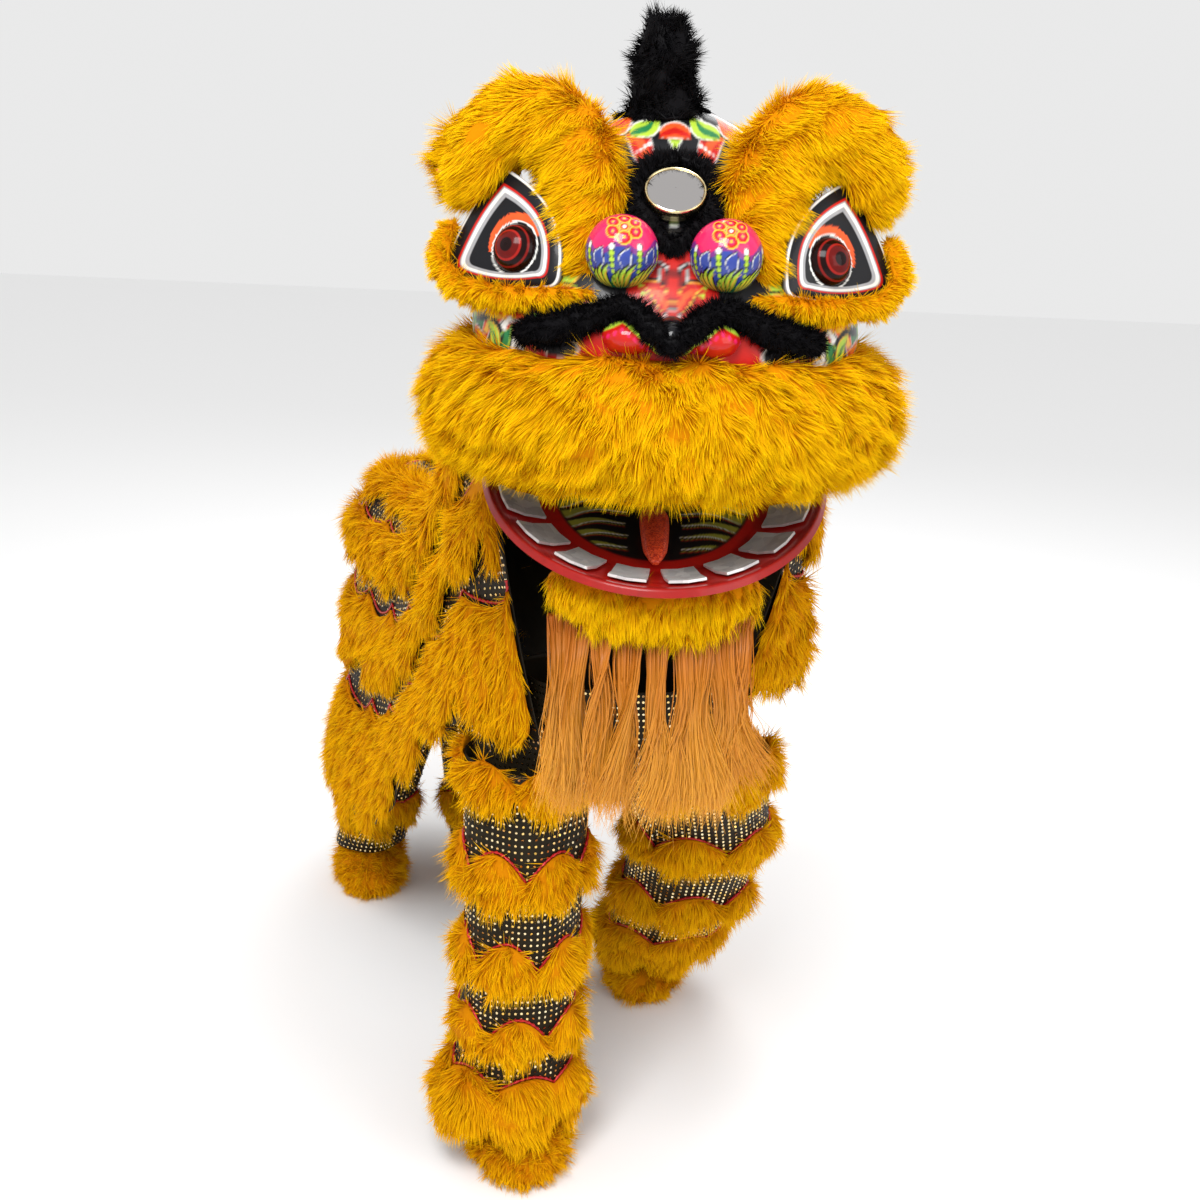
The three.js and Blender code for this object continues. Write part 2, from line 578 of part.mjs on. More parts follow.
const brow = (side, grow = 0) => roll(sideRows(BROW_ROWS, side), { rings: 9, sides: 6, depthAxis: BACKWARD, grow });
const eyeRim = (side, grow = 0) => roll(sideRows(EYE_RIM_ROWS, side), { rings: 7, sides: 6, depthAxis: BACKWARD, grow });

function lip(grow = 0) {
  const rows = [];
  const steps = 8;
  for (let step = 0; step <= steps; step += 1) {
    const share = (2 * step) / steps - 1;
    const angle = degrees(LIP.ends * share);
    rows.push({
      x: LIP.half * Math.sin(angle),
      y: LIP.middleY - LIP.reach * Math.cos(angle),
      z: LIP.z - LIP.droop * share * share,
      wide: LIP.deep,
      deep: LIP.tall,
    });
  }
  return roll(rows, { rings: 16, sides: 8, depthAxis: UPWARD, tuft: 0.04, blunt: 0.08, grow });
}

function horn(grow = 0) {
  return loft(HORN_ROWS.map((row, level) => {
    const loop = [];
    for (let side = 0; side < HORN.sides; side += 1) {
      const turn = around(side, HORN.sides);
      const relief = 1 + ((level + side) % 2 ? HORN.tuft : -HORN.tuft);
      const x = row.x + (row.across * relief + grow) * Math.sin(turn);
      loop.push(at(x, HORN.y - (row.alongY * relief + grow) * Math.cos(turn), row.z));
    }
    return loop;
  }));
}

// The mirror's disc, with a stalk's depth behind its face for the cut against the shell
function mirrorDisc(grow = 0) {
  const depth = MIRROR.thick + MIRROR.behind;
  const disc = new THREE.CylinderGeometry(MIRROR.radius + grow, MIRROR.radius + grow, depth, 18);
  disc.translate(0, MIRROR.thick - depth / 2, 0);
  return disc.rotateX(degrees(180 - MIRROR.tilt)).translate(0, MIRROR.y, MIRROR.z);
}

function mirrorRing(grow = 0) {
  const options = { rings: 5, sides: 5, depthAxis: at(0, 0.74, -0.67), tuft: 0.08, blunt: 0.06, grow };
  return join(roll(MIRROR_RING_ROWS, options), roll(mirrored(MIRROR_RING_ROWS), options));
}

// A forehead ball and the post behind it that it is mounted on
function foreheadBall(side, grow = 0) {
  const x = side * BALL.x;
  const ball = new THREE.SphereGeometry(BALL.radius + grow, 12, 8).translate(x, BALL.y, BALL.z);
  const post = bar(at(x, BALL.y, BALL.z), at(x, BALL.y + BALL.post, BALL.z), BALL.postRadius + grow, 8);
  return join(ball, post);
}

function nose(grow = 0) {
  return join(...NOSE_LOBES.map((lobe) => {
    const ball = new THREE.SphereGeometry(1, 8, 5);
    ball.scale(lobe.across + grow, lobe.deep + grow, lobe.tall + grow);
    return ball.translate(lobe.x, lobe.y, lobe.z);
  }));
}

function moustache(grow = 0) {
  const options = { rings: 5, sides: 5, depthAxis: BACKWARD, tuft: 0.06, blunt: 0.12, grow };
  return join(roll(MOUSTACHE_ROWS, options), roll(mirrored(MOUSTACHE_ROWS), options));
}

function head() {
  const group = new THREE.Group();
  const block = shellBlock();
  const [lipSpace, noseSpace, moustacheSpace] = [lip(SEAT_GAP), nose(SEAT_GAP), moustache(SEAT_GAP)];
  group.add(
    piece("head_shell", headShell(), "paintedShell"),
    piece("head_frame", headFrame(), "cane"),
    piece("lip_fur", cut(lip(), block), "yellowFur"),
    piece("nose", cut(nose(), block, lipSpace), "redPaint"),
    piece("moustache_fur", cut(moustache(), block, lipSpace, noseSpace), "blackFur"),
    piece("horn", cut(horn(), block), "blackFur"),
    piece("forehead_mirror", cut(mirrorDisc(), block), "mirror"),
  );
  const balls = [1, -1].map((side) => foreheadBall(side, BALL_CLEARANCE));
  group.add(piece("mirror_fur", cut(mirrorRing(), block, mirrorDisc(SEAT_GAP), ...balls), "blackFur"));
  for (const side of [1, -1]) {
    const name = side > 0 ? "left" : "right";
    const socketSpace = eyeSocket(side, SEAT_GAP);
    const faced = [block, socketSpace, foreheadBall(side, BALL_CLEARANCE), lipSpace, moustacheSpace];
    const browFur = cut(brow(side), ...faced, mirrorRing(SEAT_GAP), horn(SEAT_GAP));
    group.add(
      piece("eye_panel_" + name, cut(eyeSocket(side), block), "paintedPanel"),
      piece("eyeball_" + name, cut(eyeball(side), socketSpace), "glossyEye"),
      piece("brow_fur_" + name, browFur, "yellowFur"),
      piece("eye_rim_fur_" + name, cut(eyeRim(side), ...faced, brow(side, SEAT_GAP)), "yellowFur"),
      piece("forehead_ball_" + name, cut(foreheadBall(side), block), "paintedBall"),
    );
  }
  return group;
}

// Ears

function ear(side) {
  const rows = EAR_ROWS.map((row) => ({ x: side * row.out, y: 0, z: row.up, wide: row.wide, deep: row.deep }));
  const flap = roll(rows, { rings: 5, sides: 6, depthAxis: BACKWARD, tuft: 0.07, blunt: 0.14 });
  const half = EAR_STEM.thick / 2;
  const reach = side * EAR_STEM.reach;
  const stem = box(at(Math.min(0, reach), -half, -EAR_STEM.half), at(Math.max(0, reach), half, EAR_STEM.half));
  const eye = bar(at(0, -half, 0), at(0, half, 0), EAR_STEM.round, 12);
  const hole = bar(at(0, -2 * half, 0), at(0, 2 * half, 0), EAR.holeRadius, 10);
  const mesh = piece("ear_" + (side > 0 ? "left" : "right"), cut(join(flap, stem, eye), hole), "yellowFur");
  mesh.position.set(side * EAR.pinX, EAR.y, EAR.z);
  return mesh;
}

// Jaw, measured from the hinge axis with the jaw level

// A point of the tray on its own facets: a turn from the front, and how far out and how high
function trayPoint(turn, out, z) {
  const step = 180 / JAW.columns;
  const low = Math.floor(turn / step) * step;
  const corner = (angle) => {
    const x = JAW.halfWidth * out * Math.sin(degrees(angle));
    return at(x, JAW.back - (JAW.back - JAW.front) * out * Math.cos(degrees(angle)), z);
  };
  return corner(low).lerp(corner(low + step), (turn - low) / step);
}

// The tray's height at a distance out, on the straight lines between its profile's rows
function trayHeight(out) {
  const after = JAW_PROFILE.findIndex((row) => row.out >= out);
  const [low, high] = [JAW_PROFILE[after - 1], JAW_PROFILE[after]];
  return THREE.MathUtils.mapLinear(out, low.out, high.out, low.z, high.z);
}

function traySurface() {
  const last = JAW_PROFILE.length - 1;
  const place = (u, v, target) => {
    const row = JAW_PROFILE[Math.round(v * last)];
    target.copy(trayPoint(180 * u - 90, row.out, row.z));
  };
  return new ParametricGeometry(place, JAW.columns, last);
}

function jawTray() {
  const parts = [wall(traySurface(), JAW.wall)];
  const holes = [];
  const [reach, half] = [LUG.reach, LUG.wide / 2];
  for (const side of [-1, 1]) {
    const [near, far] = [side * LUG.x - half, side * LUG.x + half];
    parts.push(box(at(near, -reach, -LUG.drop), at(far, reach, 0)));
    parts.push(bar(at(near, 0, 0), at(far, 0, 0), reach, 12));
    holes.push(bar(at(near - half, 0, 0), at(far + half, 0, 0), HINGE.holeRadius, 10));
  }
  return cut(join(...parts), ...holes);
}

function tooth(number) {
  const middle = TEETH.pitch * (number - (TEETH.count - 1) / 2);
  const outs = [TEETH.low, JAW_PROFILE[2].out, TEETH.high];
  const place = (u, v, target) => {
    const out = outs[Math.round(2 * v)];
    const narrowing = 1 - TEETH.narrow * v;
    target.copy(trayPoint(middle + TEETH.half * (2 * u - 1) * narrowing, out, trayHeight(out) + TEETH.lift));
  };
  return wall(new ParametricGeometry(place, 2, 2), TEETH.thick);
}

function beard() {
  const locks = [];
  const middle = (BEARD.locks - 1) / 2;
  for (let lock = 0; lock < BEARD.locks; lock += 1) {
    const across = (lock - middle) / middle;
    const bottom = BEARD.bottom + BEARD_FALL.ragged * Math.sin(2.3 * lock) + BEARD_FALL.sidesUp * Math.abs(across);
    const rows = [];
    const steps = 3;
    for (let step = 0; step <= steps; step += 1) {
      const fall = step / steps;
      rows.push({
        x: BEARD.half * across * (1 + BEARD_FALL.spread * fall) + BEARD_FALL.sway * Math.sin(3.4 * fall + 1.9 * lock) * fall,
        y: BEARD.y + BEARD.curve * across * across + BEARD_FALL.back * fall + BEARD_FALL.stagger * (lock % 2),
        z: BEARD.top - (BEARD.top - bottom) * fall,
        wide: BEARD.wide * (1 - 0.55 * fall * fall),
        deep: BEARD.deep * (1 - 0.5 * fall),
      });
    }
    locks.push(roll(rows, { rings: steps, sides: 4, depthAxis: BACKWARD, tuft: 0 }));
  }
  const backingRows = [-1, -0.5, 0, 0.5, 1].map((across) => ({
    x: BEARD.half * across,
    y: BEARD.y + BEARD.curve * across * across,
    z: BEARD.top,
    wide: BEARD.deep,
    deep: BEARD.deep,
  }));
  return join(roll(backingRows, { rings: 4, sides: 4, depthAxis: BACKWARD, tuft: 0 }), ...locks);
}

const chin = (grow) => roll(CHIN_ROWS, { rings: 8, sides: 6, depthAxis: BACKWARD, tuft: 0.06, blunt: 0.12, grow });

function jaw() {
  const group = new THREE.Group();
  group.position.set(0, JAW.hingeY, JAW.hingeZ);
  group.rotation.x = degrees(JAW.drop);
  group.updateMatrixWorld(true);
  const traySpace = wall(traySurface(), JAW.wall, SEAT_GAP);
  group.add(piece("jaw_tray", jawTray(), "redPaint"));
  for (let number = 0; number < TEETH.count; number += 1) {
    group.add(piece("tooth_" + (number + 1), tooth(number), "silverFoil"));
  }
  const tongue = roll(TONGUE_ROWS, { rings: 5, sides: 8, depthAxis: UPWARD, tuft: 0, blunt: 0.12 });
  const beardHere = beard().applyMatrix4(group.matrixWorld.clone().invert());
  group.add(
    piece("tongue", cut(tongue, traySpace), "redGlitter"),
    piece("chin_fur", cut(chin(0), traySpace), "yellowFur"),
    piece("beard", cut(beardHere, chin(SEAT_GAP), traySpace), "beardHair"),
  );
  return group;
}

// Blanket

const blanketStation = between(BLANKET_STATIONS);

// A point of the blanket: along it from the neck to the rump, down it from the spine to the hem
function blanketPoint(along, down, side) {
  const s = blanketStation(along);
  const heading = BLANKET_TURN * THREE.MathUtils.smoothstep(along, 0.15, 0.6) * (1 - s.fan / 90);
  const turn = degrees(heading + side * s.fan);
  const bend = (Math.PI / 2) * THREE.MathUtils.clamp(down / BLANKET_GRID.shoulder, 0, 1);
  const fall = Math.max(0, (down - BLANKET_GRID.shoulder) / (1 - BLANKET_GRID.shoulder));
  const fold = BLANKET_GRID.fold * Math.cos(Math.PI * BLANKET_GRID.columns * along) * fall * (1 - along ** 6);
  const reach = s.half * Math.sin(bend) + s.flare * fall ** 1.5 + fold;
  const hem = side > 0 ? s.hemLeft : s.hemRight;
  const z = s.top - s.arch * (1 - Math.cos(bend)) - (s.top - s.arch - hem) * fall;
  const lead = s.lead * THREE.MathUtils.smoothstep(down, 0.05, 0.7);
  return at(s.x + side * reach * Math.cos(turn), s.y + side * reach * Math.sin(turn) + lead, z);
}

function blanketSurface() {
  const rows = BLANKET_LINES.length - 1;
  const half = (side) => {
    const place = (u, v, target) => target.copy(blanketPoint(u, BLANKET_LINES[Math.round(v * rows)], side));
    return new ParametricGeometry(place, BLANKET_GRID.columns, rows);
  };
  const sides = [half(1), half(-1)];
  const flipped = [...sides[0].getIndex().array].reverse();
  const count = sides[0].getAttribute("position").count;
  const positions = sides.flatMap((geometry) => [...geometry.getAttribute("position").array]);
  const surface = new THREE.BufferGeometry();
  surface.setAttribute("position", new THREE.Float32BufferAttribute(positions, 3));
  surface.setIndex([...flipped, ...[...sides[1].getIndex().array].map((corner) => corner + count)]);
  return surface;
}

// The outward way from the blanket at a place on it
function blanketNormal(along, down, side) {
  const step = 0.01;
  const ahead = blanketPoint(Math.min(1, along + step), down, side);
  const behind = blanketPoint(Math.max(0, along - step), down, side);
  const low = blanketPoint(along, Math.min(1, down + step), side);
  const high = blanketPoint(along, Math.max(0, down - step), side);
  return ahead.sub(behind).cross(low.sub(high)).multiplyScalar(-side).normalize();
}

// A place off the blanket: past the hem it hangs on straight down
function offBlanket(along, down, side, out) {
  const point = blanketPoint(along, Math.min(down, 1), side);
  point.z -= Math.max(0, down - 1) * BLANKET_GRID.tail;
  return point.addScaledVector(blanketNormal(along, Math.min(down, 1), side), out);
}

// One section of a row of fur at each of the cloth's columns, the last one short of the rear seam
function alongBlanket(section) {
  const sections = [];
  for (let column = 0; column <= BLANKET_GRID.columns; column += 1) {
    sections.push(section(Math.min(column / BLANKET_GRID.columns, REAR_SEAM), column));
  }
  return loft(sections);
}

// One row of fur lappets: sewn along its top, bulging, with pointed tips that hang free
function lappetRow(row, side) {
  const sewn = BLANKET_LINES[row.line];
  return alongBlanket((along, column) => {
    const tip = (column + row.line) % 2;
    const end = tip ? row.tips : row.dips;
    return [
      offBlanket(along, end, side, row.end),
      offBlanket(along, sewn, side, SEWN_GAP),
      offBlanket(along, sewn - (tip ? 0 : row.rise), side, HANG_GAP),
      offBlanket(along, THREE.MathUtils.lerp(sewn, end, 0.5), side, row.loft * (tip ? 1 : 0.75)),
    ];
  });
}

function spineRow() {
  return alongBlanket((along, column) => {
    const half = column % 2 ? SPINE_FUR.half : SPINE_FUR.dip;
    return [
      offBlanket(along, half, -1, HANG_GAP),
      offBlanket(along, 0, 1, SEWN_GAP),
      offBlanket(along, half, 1, HANG_GAP),
      offBlanket(along, half * 0.6, 1, SPINE_FUR.loft * 0.8),
      offBlanket(along, 0, 1, SPINE_FUR.loft),
      offBlanket(along, half * 0.6, -1, SPINE_FUR.loft * 0.8),
    ];
  });
}

function blanket() {
  const group = new THREE.Group();
  group.add(piece("blanket_cloth", wall(blanketSurface(), CLOTH_WALL), "sequinCloth"));
  group.add(piece("blanket_fur_spine", spineRow(), "yellowFur"));
  for (const side of [1, -1]) {
    BLANKET_FUR_ROWS.forEach((row, i) => {
      const name = "blanket_fur_" + (side > 0 ? "left_" : "right_") + (i + 1);
      group.add(piece(name, lappetRow(row, side), "yellowFur"));
    });
  }
  return group;
}

// Trousers

// A point of a leg's or waist's cloth on one of its rings, its radius waved by the cloth's folds
function legPoint(row, level, side, out) {
  const turn = around(side, LEG_SIDES);
  const wave = 1 + TROUSER_FOLD.depth * Math.sin(TROUSER_FOLD.folds * turn + TROUSER_FOLD.drift * level);
  const x = row.x + (row.across * wave + out) * Math.sin(turn);
  return at(x, row.y - (row.deep * wave + out) * Math.cos(turn), row.z);
}

// The space a leg or waist fills; a trimmed end stops short inside the cloth, an open one runs past
function legSpace(rows, { out = 0, open = null } = {}) {
  const ring = (row, level) => Array.from({ length: LEG_SIDES }, (unused, side) => legPoint(row, level, side, out));
  const rings = rows.map(ring);
  if (open === "bottom") {
    rings.unshift(rings[0].map((point) => at(point.x, point.y, point.z - PAST_END)));
    rings[rings.length - 1].forEach((point) => point.setZ(point.z - CLOTH_WALL));
  }
  if (open === "top") {
    rings[0].forEach((point) => point.setZ(point.z + CLOTH_WALL));
    rings.push(rings[rings.length - 1].map((point) => at(point.x, point.y, point.z + PAST_END)));
  }
  return loft(rings);
}

function trousers(legs, waist) {
  const outer = join(...[...legs, waist].map((rows) => legSpace(rows)));
  const legHollows = legs.map((rows) => legSpace(rows, { out: -CLOTH_WALL, open: "bottom" }));
  return cut(outer, join(...legHollows, legSpace(waist, { out: -CLOTH_WALL, open: "top" })));
}

// A ring of fur round a leg: sewn at its top, bulging, with pointed locks that hang free
function legTier(rows, level) {
  const row = rows[level];
  const sections = [];
  for (let side = 0; side < LEG_SIDES; side += 1) {
    const tip = side % 2;
    const hair = row.hair * (tip ? 1 : 0.76);
    const place = (drop, out) => {
      const start = legPoint(row, level, side, out);
      const nextLevel = drop < 0 ? level + 1 : level - 1;
      const next = rows[nextLevel];
      if (!next) return start.setZ(start.z - drop);
      return start.lerp(legPoint(next, nextLevel, side, out), Math.abs(drop / (row.z - next.z)));
    };
    sections.push([
      place(hair, row.tips),
      place(0, SEWN_GAP),
      place(tip ? -row.rise : 0, HANG_GAP),
      place(hair * 0.45, row.loft * (tip ? 1 : 0.8)),
    ]);
  }
  return closedRing(sections);
}

function garment({ cloth, furs, legs, waist, shoes }) {
  const group = new THREE.Group();
  group.add(piece(cloth, trousers(legs, waist), "sequinCloth"));
  const space = join(...[...legs, waist].map((rows) => legSpace(rows, { out: SEAT_GAP })));
  const far = at(FAR, FAR, FAR);
  const halves = [
    box(far.clone().negate(), far.clone().setX(waist[0].x + 1)),
    box(far.clone().negate().setX(waist[0].x - 1), far),
  ];
  legs.forEach((rows, leg) => {
    const sewn = rows.map((row, level) => level).filter((level) => rows[level].hair > 0).reverse();
    sewn.forEach((level, i) => {
      const tools = [];
      if (level === rows.length - 1) tools.push(space, halves[leg]);
      if (level === 1) tools.push(shoeSpace(shoes[leg]));
      const fur = legTier(rows, level);
      const number = sewn.length > 1 ? "_" + (i + 1) : "";
      group.add(piece(furs[leg] + number, tools.length ? cut(fur, ...tools) : fur, "yellowFur"));
    });
  });
  return group;
}

// Shoe covers

// The space of a shoe cover, inset by its fur's depth or grown, with its ends run past
function shoeForm({ inset = 0, past = 0 }) {
  const rings = SHOE_ROWS.map((row, level) => {
    const loop = [];
    for (let side = 0; side < SHOE_SIDES; side += 1) {
      const angle = around(side, SHOE_SIDES);
      const relief = inset > 0 ? 1 : 1 + ((level + side) % 2 ? SHOE_TUFT : -SHOE_TUFT);
      const x = (row.across * relief - inset) * Math.sin(angle);
      loop.push(at(x, -row.lean - (row.along * relief - inset) * Math.cos(angle), row.z));
    }
    return loop;
  });
  if (past > 0) {
    rings.unshift(rings[0].map((point) => at(point.x, point.y, point.z - past)));
    rings.push(rings[rings.length - 1].map((point) => at(point.x, point.y, point.z + past)));
  }
  return loft(rings);
}

function shoePlaced(geometry, { x, y, turn }) {
  return geometry.rotateZ(degrees(turn)).translate(x, y, 0);
}

const shoeSpace = (place) => shoePlaced(shoeForm({ inset: -SEAT_GAP - 1 }), place);

function shoeCover(place) {
  const cover = cut(shoeForm({}), shoeForm({ inset: SHOE_FUR, past: PAST_END }));
  return piece(place.name, shoePlaced(cover, place), "yellowFur");
}

function costume() {
  const group = new THREE.Group();
  const [frontRight, frontLeft, rearRight, rearLeft] = SHOE_PLACES;
  group.add(head(), jaw(), ear(1), ear(-1), blanket());
  group.add(garment({
    cloth: "front_trousers",
    furs: ["front_left_fur", "front_right_fur"],
    legs: [FRONT_LEFT_LEG, FRONT_RIGHT_LEG],
    waist: FRONT_WAIST,
    shoes: [frontLeft, frontRight],
  }));
  group.add(garment({
    cloth: "rear_trousers",
    furs: ["rear_left_fur", "rear_right_fur"],
    legs: [REAR_LEFT_LEG, REAR_RIGHT_LEG],
    waist: REAR_WAIST,
    shoes: [rearLeft, rearRight],
  }));
  SHOE_PLACES.forEach((place) => group.add(shoeCover(place)));
  group.position.set(0, -GRIP.y, -GRIP.z);
  const root = new THREE.Group();
  root.add(group);
  return root;
}

export default costume();
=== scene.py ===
"""A southern lion dance costume as worn: fur, sequin cloth, painted head and hinged jaw.

Tables are in millimetres from the floor, as the part's own are, and to_frame() takes them to the
part's frame in metres. Every new piece is a numpy surface, or strands computed as whole arrays.
"""

import bpy
import numpy as np
from mathutils import Matrix


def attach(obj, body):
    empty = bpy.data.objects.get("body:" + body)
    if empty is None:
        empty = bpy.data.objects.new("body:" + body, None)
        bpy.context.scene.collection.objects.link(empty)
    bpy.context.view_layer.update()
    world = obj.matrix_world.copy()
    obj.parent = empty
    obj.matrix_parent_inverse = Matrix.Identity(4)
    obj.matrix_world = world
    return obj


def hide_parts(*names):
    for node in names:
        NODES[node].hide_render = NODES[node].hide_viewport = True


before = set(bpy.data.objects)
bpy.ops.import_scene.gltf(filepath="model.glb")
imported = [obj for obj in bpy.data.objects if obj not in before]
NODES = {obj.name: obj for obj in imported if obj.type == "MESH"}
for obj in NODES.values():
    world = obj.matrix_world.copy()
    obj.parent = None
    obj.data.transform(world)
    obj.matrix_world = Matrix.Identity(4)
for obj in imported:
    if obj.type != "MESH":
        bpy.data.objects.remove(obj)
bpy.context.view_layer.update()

GRIP_AT = np.array([0.0, 60.0, 1500.0])
DOWN = np.array([0.0, 0.0, -1.0])
TAU = 2 * np.pi
SIDES = ((1, "left"), (-1, "right"))
DENSITY = 1.0

# Paint colours, as linear red, green and blue
PAINT = {
    "white": (0.80, 0.80, 0.76),
    "grey": (0.33, 0.33, 0.34),
    "black": (0.006, 0.006, 0.008),
    "red": (0.52, 0.012, 0.008),
    "deep_red": (0.33, 0.012, 0.010),
    "orange": (0.80, 0.10, 0.02),
    "lime": (0.42, 0.62, 0.05),
    "green": (0.02, 0.20, 0.06),
    "pink": (0.75, 0.02, 0.12),
    "purple": (0.20, 0.03, 0.22),
    "blue": (0.035, 0.06, 0.30),
    "olive": (0.34, 0.35, 0.045),
    "yellow": (0.86, 0.50, 0.05),
}

# Surface tools


def to_frame(points):
    """Points in millimetres from the floor, as metres in the part's frame."""
    return (np.asarray(points, float) - GRIP_AT) / 1000


def unit(vectors):
    return vectors / np.maximum(np.linalg.norm(vectors, axis=-1, keepdims=True), 1e-9)


def smoothstep(value, low, high):
    """3t^2 - 2t^3, with t from 0 at low to 1 at high."""
    t = np.clip((value - low) / (high - low), 0, 1)
    return t * t * (3 - 2 * t)


def turns(count):
    """Even turns round a circle."""
    return TAU * np.arange(count) / count


def circle(turn, side, other):
    """cos(turn) side + sin(turn) other."""
    return np.cos(turn)[..., None] * side + np.sin(turn)[..., None] * other


def run_of(path):
    """How far along a path each of its points is."""
    return np.concatenate([[0], np.cumsum(np.linalg.norm(np.diff(path, axis=0), axis=1))])


def read_rows(rows, place):
    """A Catmull-Rom reading of a table, from 0 at its first row to 1 at its last, mirrored at its ends."""
    rows = np.asarray(rows, float)
    table = np.vstack([rows[1], rows, rows[-2]])
    spot = np.clip(place, 0, 1) * (len(rows) - 1)
    low = np.minimum(spot.astype(int), len(rows) - 2)
    t = (spot - low)[..., None]
    a, b, c, d = table[low], table[low + 1], table[low + 2], table[low + 3]
    cubic = (3 * b - a - 3 * c + d) * t**3
    return 0.5 * (2 * b + (c - a) * t + (2 * a - 5 * b + 4 * c - d) * t**2 + cubic)


def grid_quads(rows, columns, wrap_rows=False, wrap_columns=False):
    """The quads of a grid of points, numbered row by row."""
    r, c = np.meshgrid(
        np.arange(rows if wrap_rows else rows - 1),
        np.arange(columns if wrap_columns else columns - 1),
        indexing="ij",
    )
    r2, c2 = (r + 1) % rows, (c + 1) % columns
    corners = [r * columns + c, r * columns + c2, r2 * columns + c2, r2 * columns + c]
    return np.stack(corners, -1).reshape(-1, 4)


def triangles_of(quads):
    return np.vstack([quads[:, [0, 1, 2]], quads[:, [0, 2, 3]]])


def face_crosses(points, triangles):
    """Each triangle's corners, and the cross product of its edges."""
    a, b, c = (points[triangles[:, k]] for k in range(3))
    return a, b, c, np.cross(b - a, c - a)


def vertex_normals(points, triangles):
    """The area-weighted mean of the normals round each point."""
    face = face_crosses(points, triangles)[3]
    total = np.zeros_like(points)
    for corner in range(3):
        np.add.at(total, triangles[:, corner], face)
    return unit(total)


def outward(points, faces):
    """The faces, turned over if the volume they enclose is negative."""
    triangles = faces if faces.shape[1] == 3 else triangles_of(faces)
    volume = np.einsum("ij,ij->", *face_crosses(points - points.mean(0), triangles)[::3])
    return faces[:, ::-1] if volume < 0 else faces


def wrapped(grid, wrap_rows=False):
    """A grid's points and its quads, closed round its columns and facing out."""
    points = grid.reshape(-1, 3)
    return points, outward(points, grid_quads(*grid.shape[:2], wrap_rows, True))


def facing(grid, way):
    """An open grid's points and its quads, facing up with a way of 1 and down with -1."""
    points, faces = grid.reshape(-1, 3), grid_quads(*grid.shape[:2])
    up = vertex_normals(points, triangles_of(faces))[:, 2].mean()
    return points, faces if up * way > 0 else faces[:, ::-1]


def node_surface(name):
    """A CAD node's points, merged where they meet, in millimetres from the floor, and its triangles."""
    mesh = NODES[name].data
    co = np.empty(len(mesh.vertices) * 3, np.float32)
    mesh.vertices.foreach_get("co", co)
    corner = np.empty(len(mesh.loops), np.int32)
    mesh.loops.foreach_get("vertex_index", corner)
    co = co.reshape(-1, 3).astype(float) * 1000
    keys, back = np.unique(np.round(co, 2), axis=0, return_inverse=True)
    triangles = back.reshape(-1)[corner].reshape(-1, 3)
    whole = (triangles[:, 0] != triangles[:, 1]) & (triangles[:, 1] != triangles[:, 2])
    return keys + GRIP_AT, triangles[whole & (triangles[:, 2] != triangles[:, 0])]


def make_mesh(name, parts):
    """One mesh from parts of (points, faces, attributes), with faces of three or four corners.

    An attribute is a value for each point, or three for a colour."""
    mesh = bpy.data.meshes.new(name)
    offset, starts, corners, total = 0, [], [], 0
    for points, faces, _ in parts:
        corners.append((faces + offset).reshape(-1))
        starts.append(total + faces.shape[1] * np.arange(len(faces)))
        total += faces.size
        offset += len(points)
    co = to_frame(np.vstack([points for points, _, _ in parts])).astype(np.float32)
    mesh.vertices.add(offset)
    mesh.vertices.foreach_set("co", co.reshape(-1))
    mesh.loops.add(total)
    mesh.loops.foreach_set("vertex_index", np.concatenate(corners).astype(np.int32))
    starts = np.concatenate(starts).astype(np.int32)
    mesh.polygons.add(len(starts))
    mesh.polygons.foreach_set("loop_start", starts)
    mesh.update(calc_edges=True)
    for key in parts[0][2]:
        values = np.concatenate([np.asarray(part[2][key], np.float32) for part in parts])
        if values.ndim == 2:
            rgba = np.concatenate([values, np.ones((len(values), 1), np.float32)], 1)
            layer = mesh.attributes.new(key, "FLOAT_COLOR", "POINT")
            layer.data.foreach_set("color", rgba.reshape(-1))
        else:
            mesh.attributes.new(key, "FLOAT", "POINT").data.foreach_set("value", values)
    mesh.polygons.foreach_set("use_smooth", np.ones(len(starts), bool))
    mesh.validate()
    return mesh


def make_piece(name, parts, look, body="costume", replaces=None):
    """A piece with its look's material, on a body and in the place of a node."""
    material, slot = look
    piece = bpy.data.objects.new(name, make_mesh(name, parts))
    bpy.context.scene.collection.objects.link(piece)
    piece.data.materials.append(material)
    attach(piece, body)
    if replaces:
        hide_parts(replaces)
    return piece


def painted(points, colour):
    """The paint attribute of a piece in one colour."""
    return {"paint": np.tile(PAINT.get(colour, colour), (len(points), 1))}


# Strands


def face_sizes(points, triangles, keep=None):
    """Each triangle's area, times what keep makes of its middle and normal."""
    a, b, c, cross = face_crosses(points, triangles)
    size = np.linalg.norm(cross, axis=1) / 2
    return size if keep is None else size * keep((a + b + c) / 3, unit(cross))


def scatter(points, triangles, sizes, count, rng):
    """Roots spread evenly over the triangles by their sizes, each with its smooth normal."""
    normals = vertex_normals(points, triangles)
    pick = rng.choice(len(triangles), count, p=sizes / sizes.sum())
    s, t = rng.random(count), rng.random(count)
    flip = s + t > 1
    s, t = np.where(flip, 1 - s, s)[:, None], np.where(flip, 1 - t, t)[:, None]
    one, two, three = (triangles[pick, k] for k in range(3))
    root, normal = (
        (1 - s - t) * values[one] + s * values[two] + t * values[three] for values in (points, normals)
    )
    return root, unit(normal)


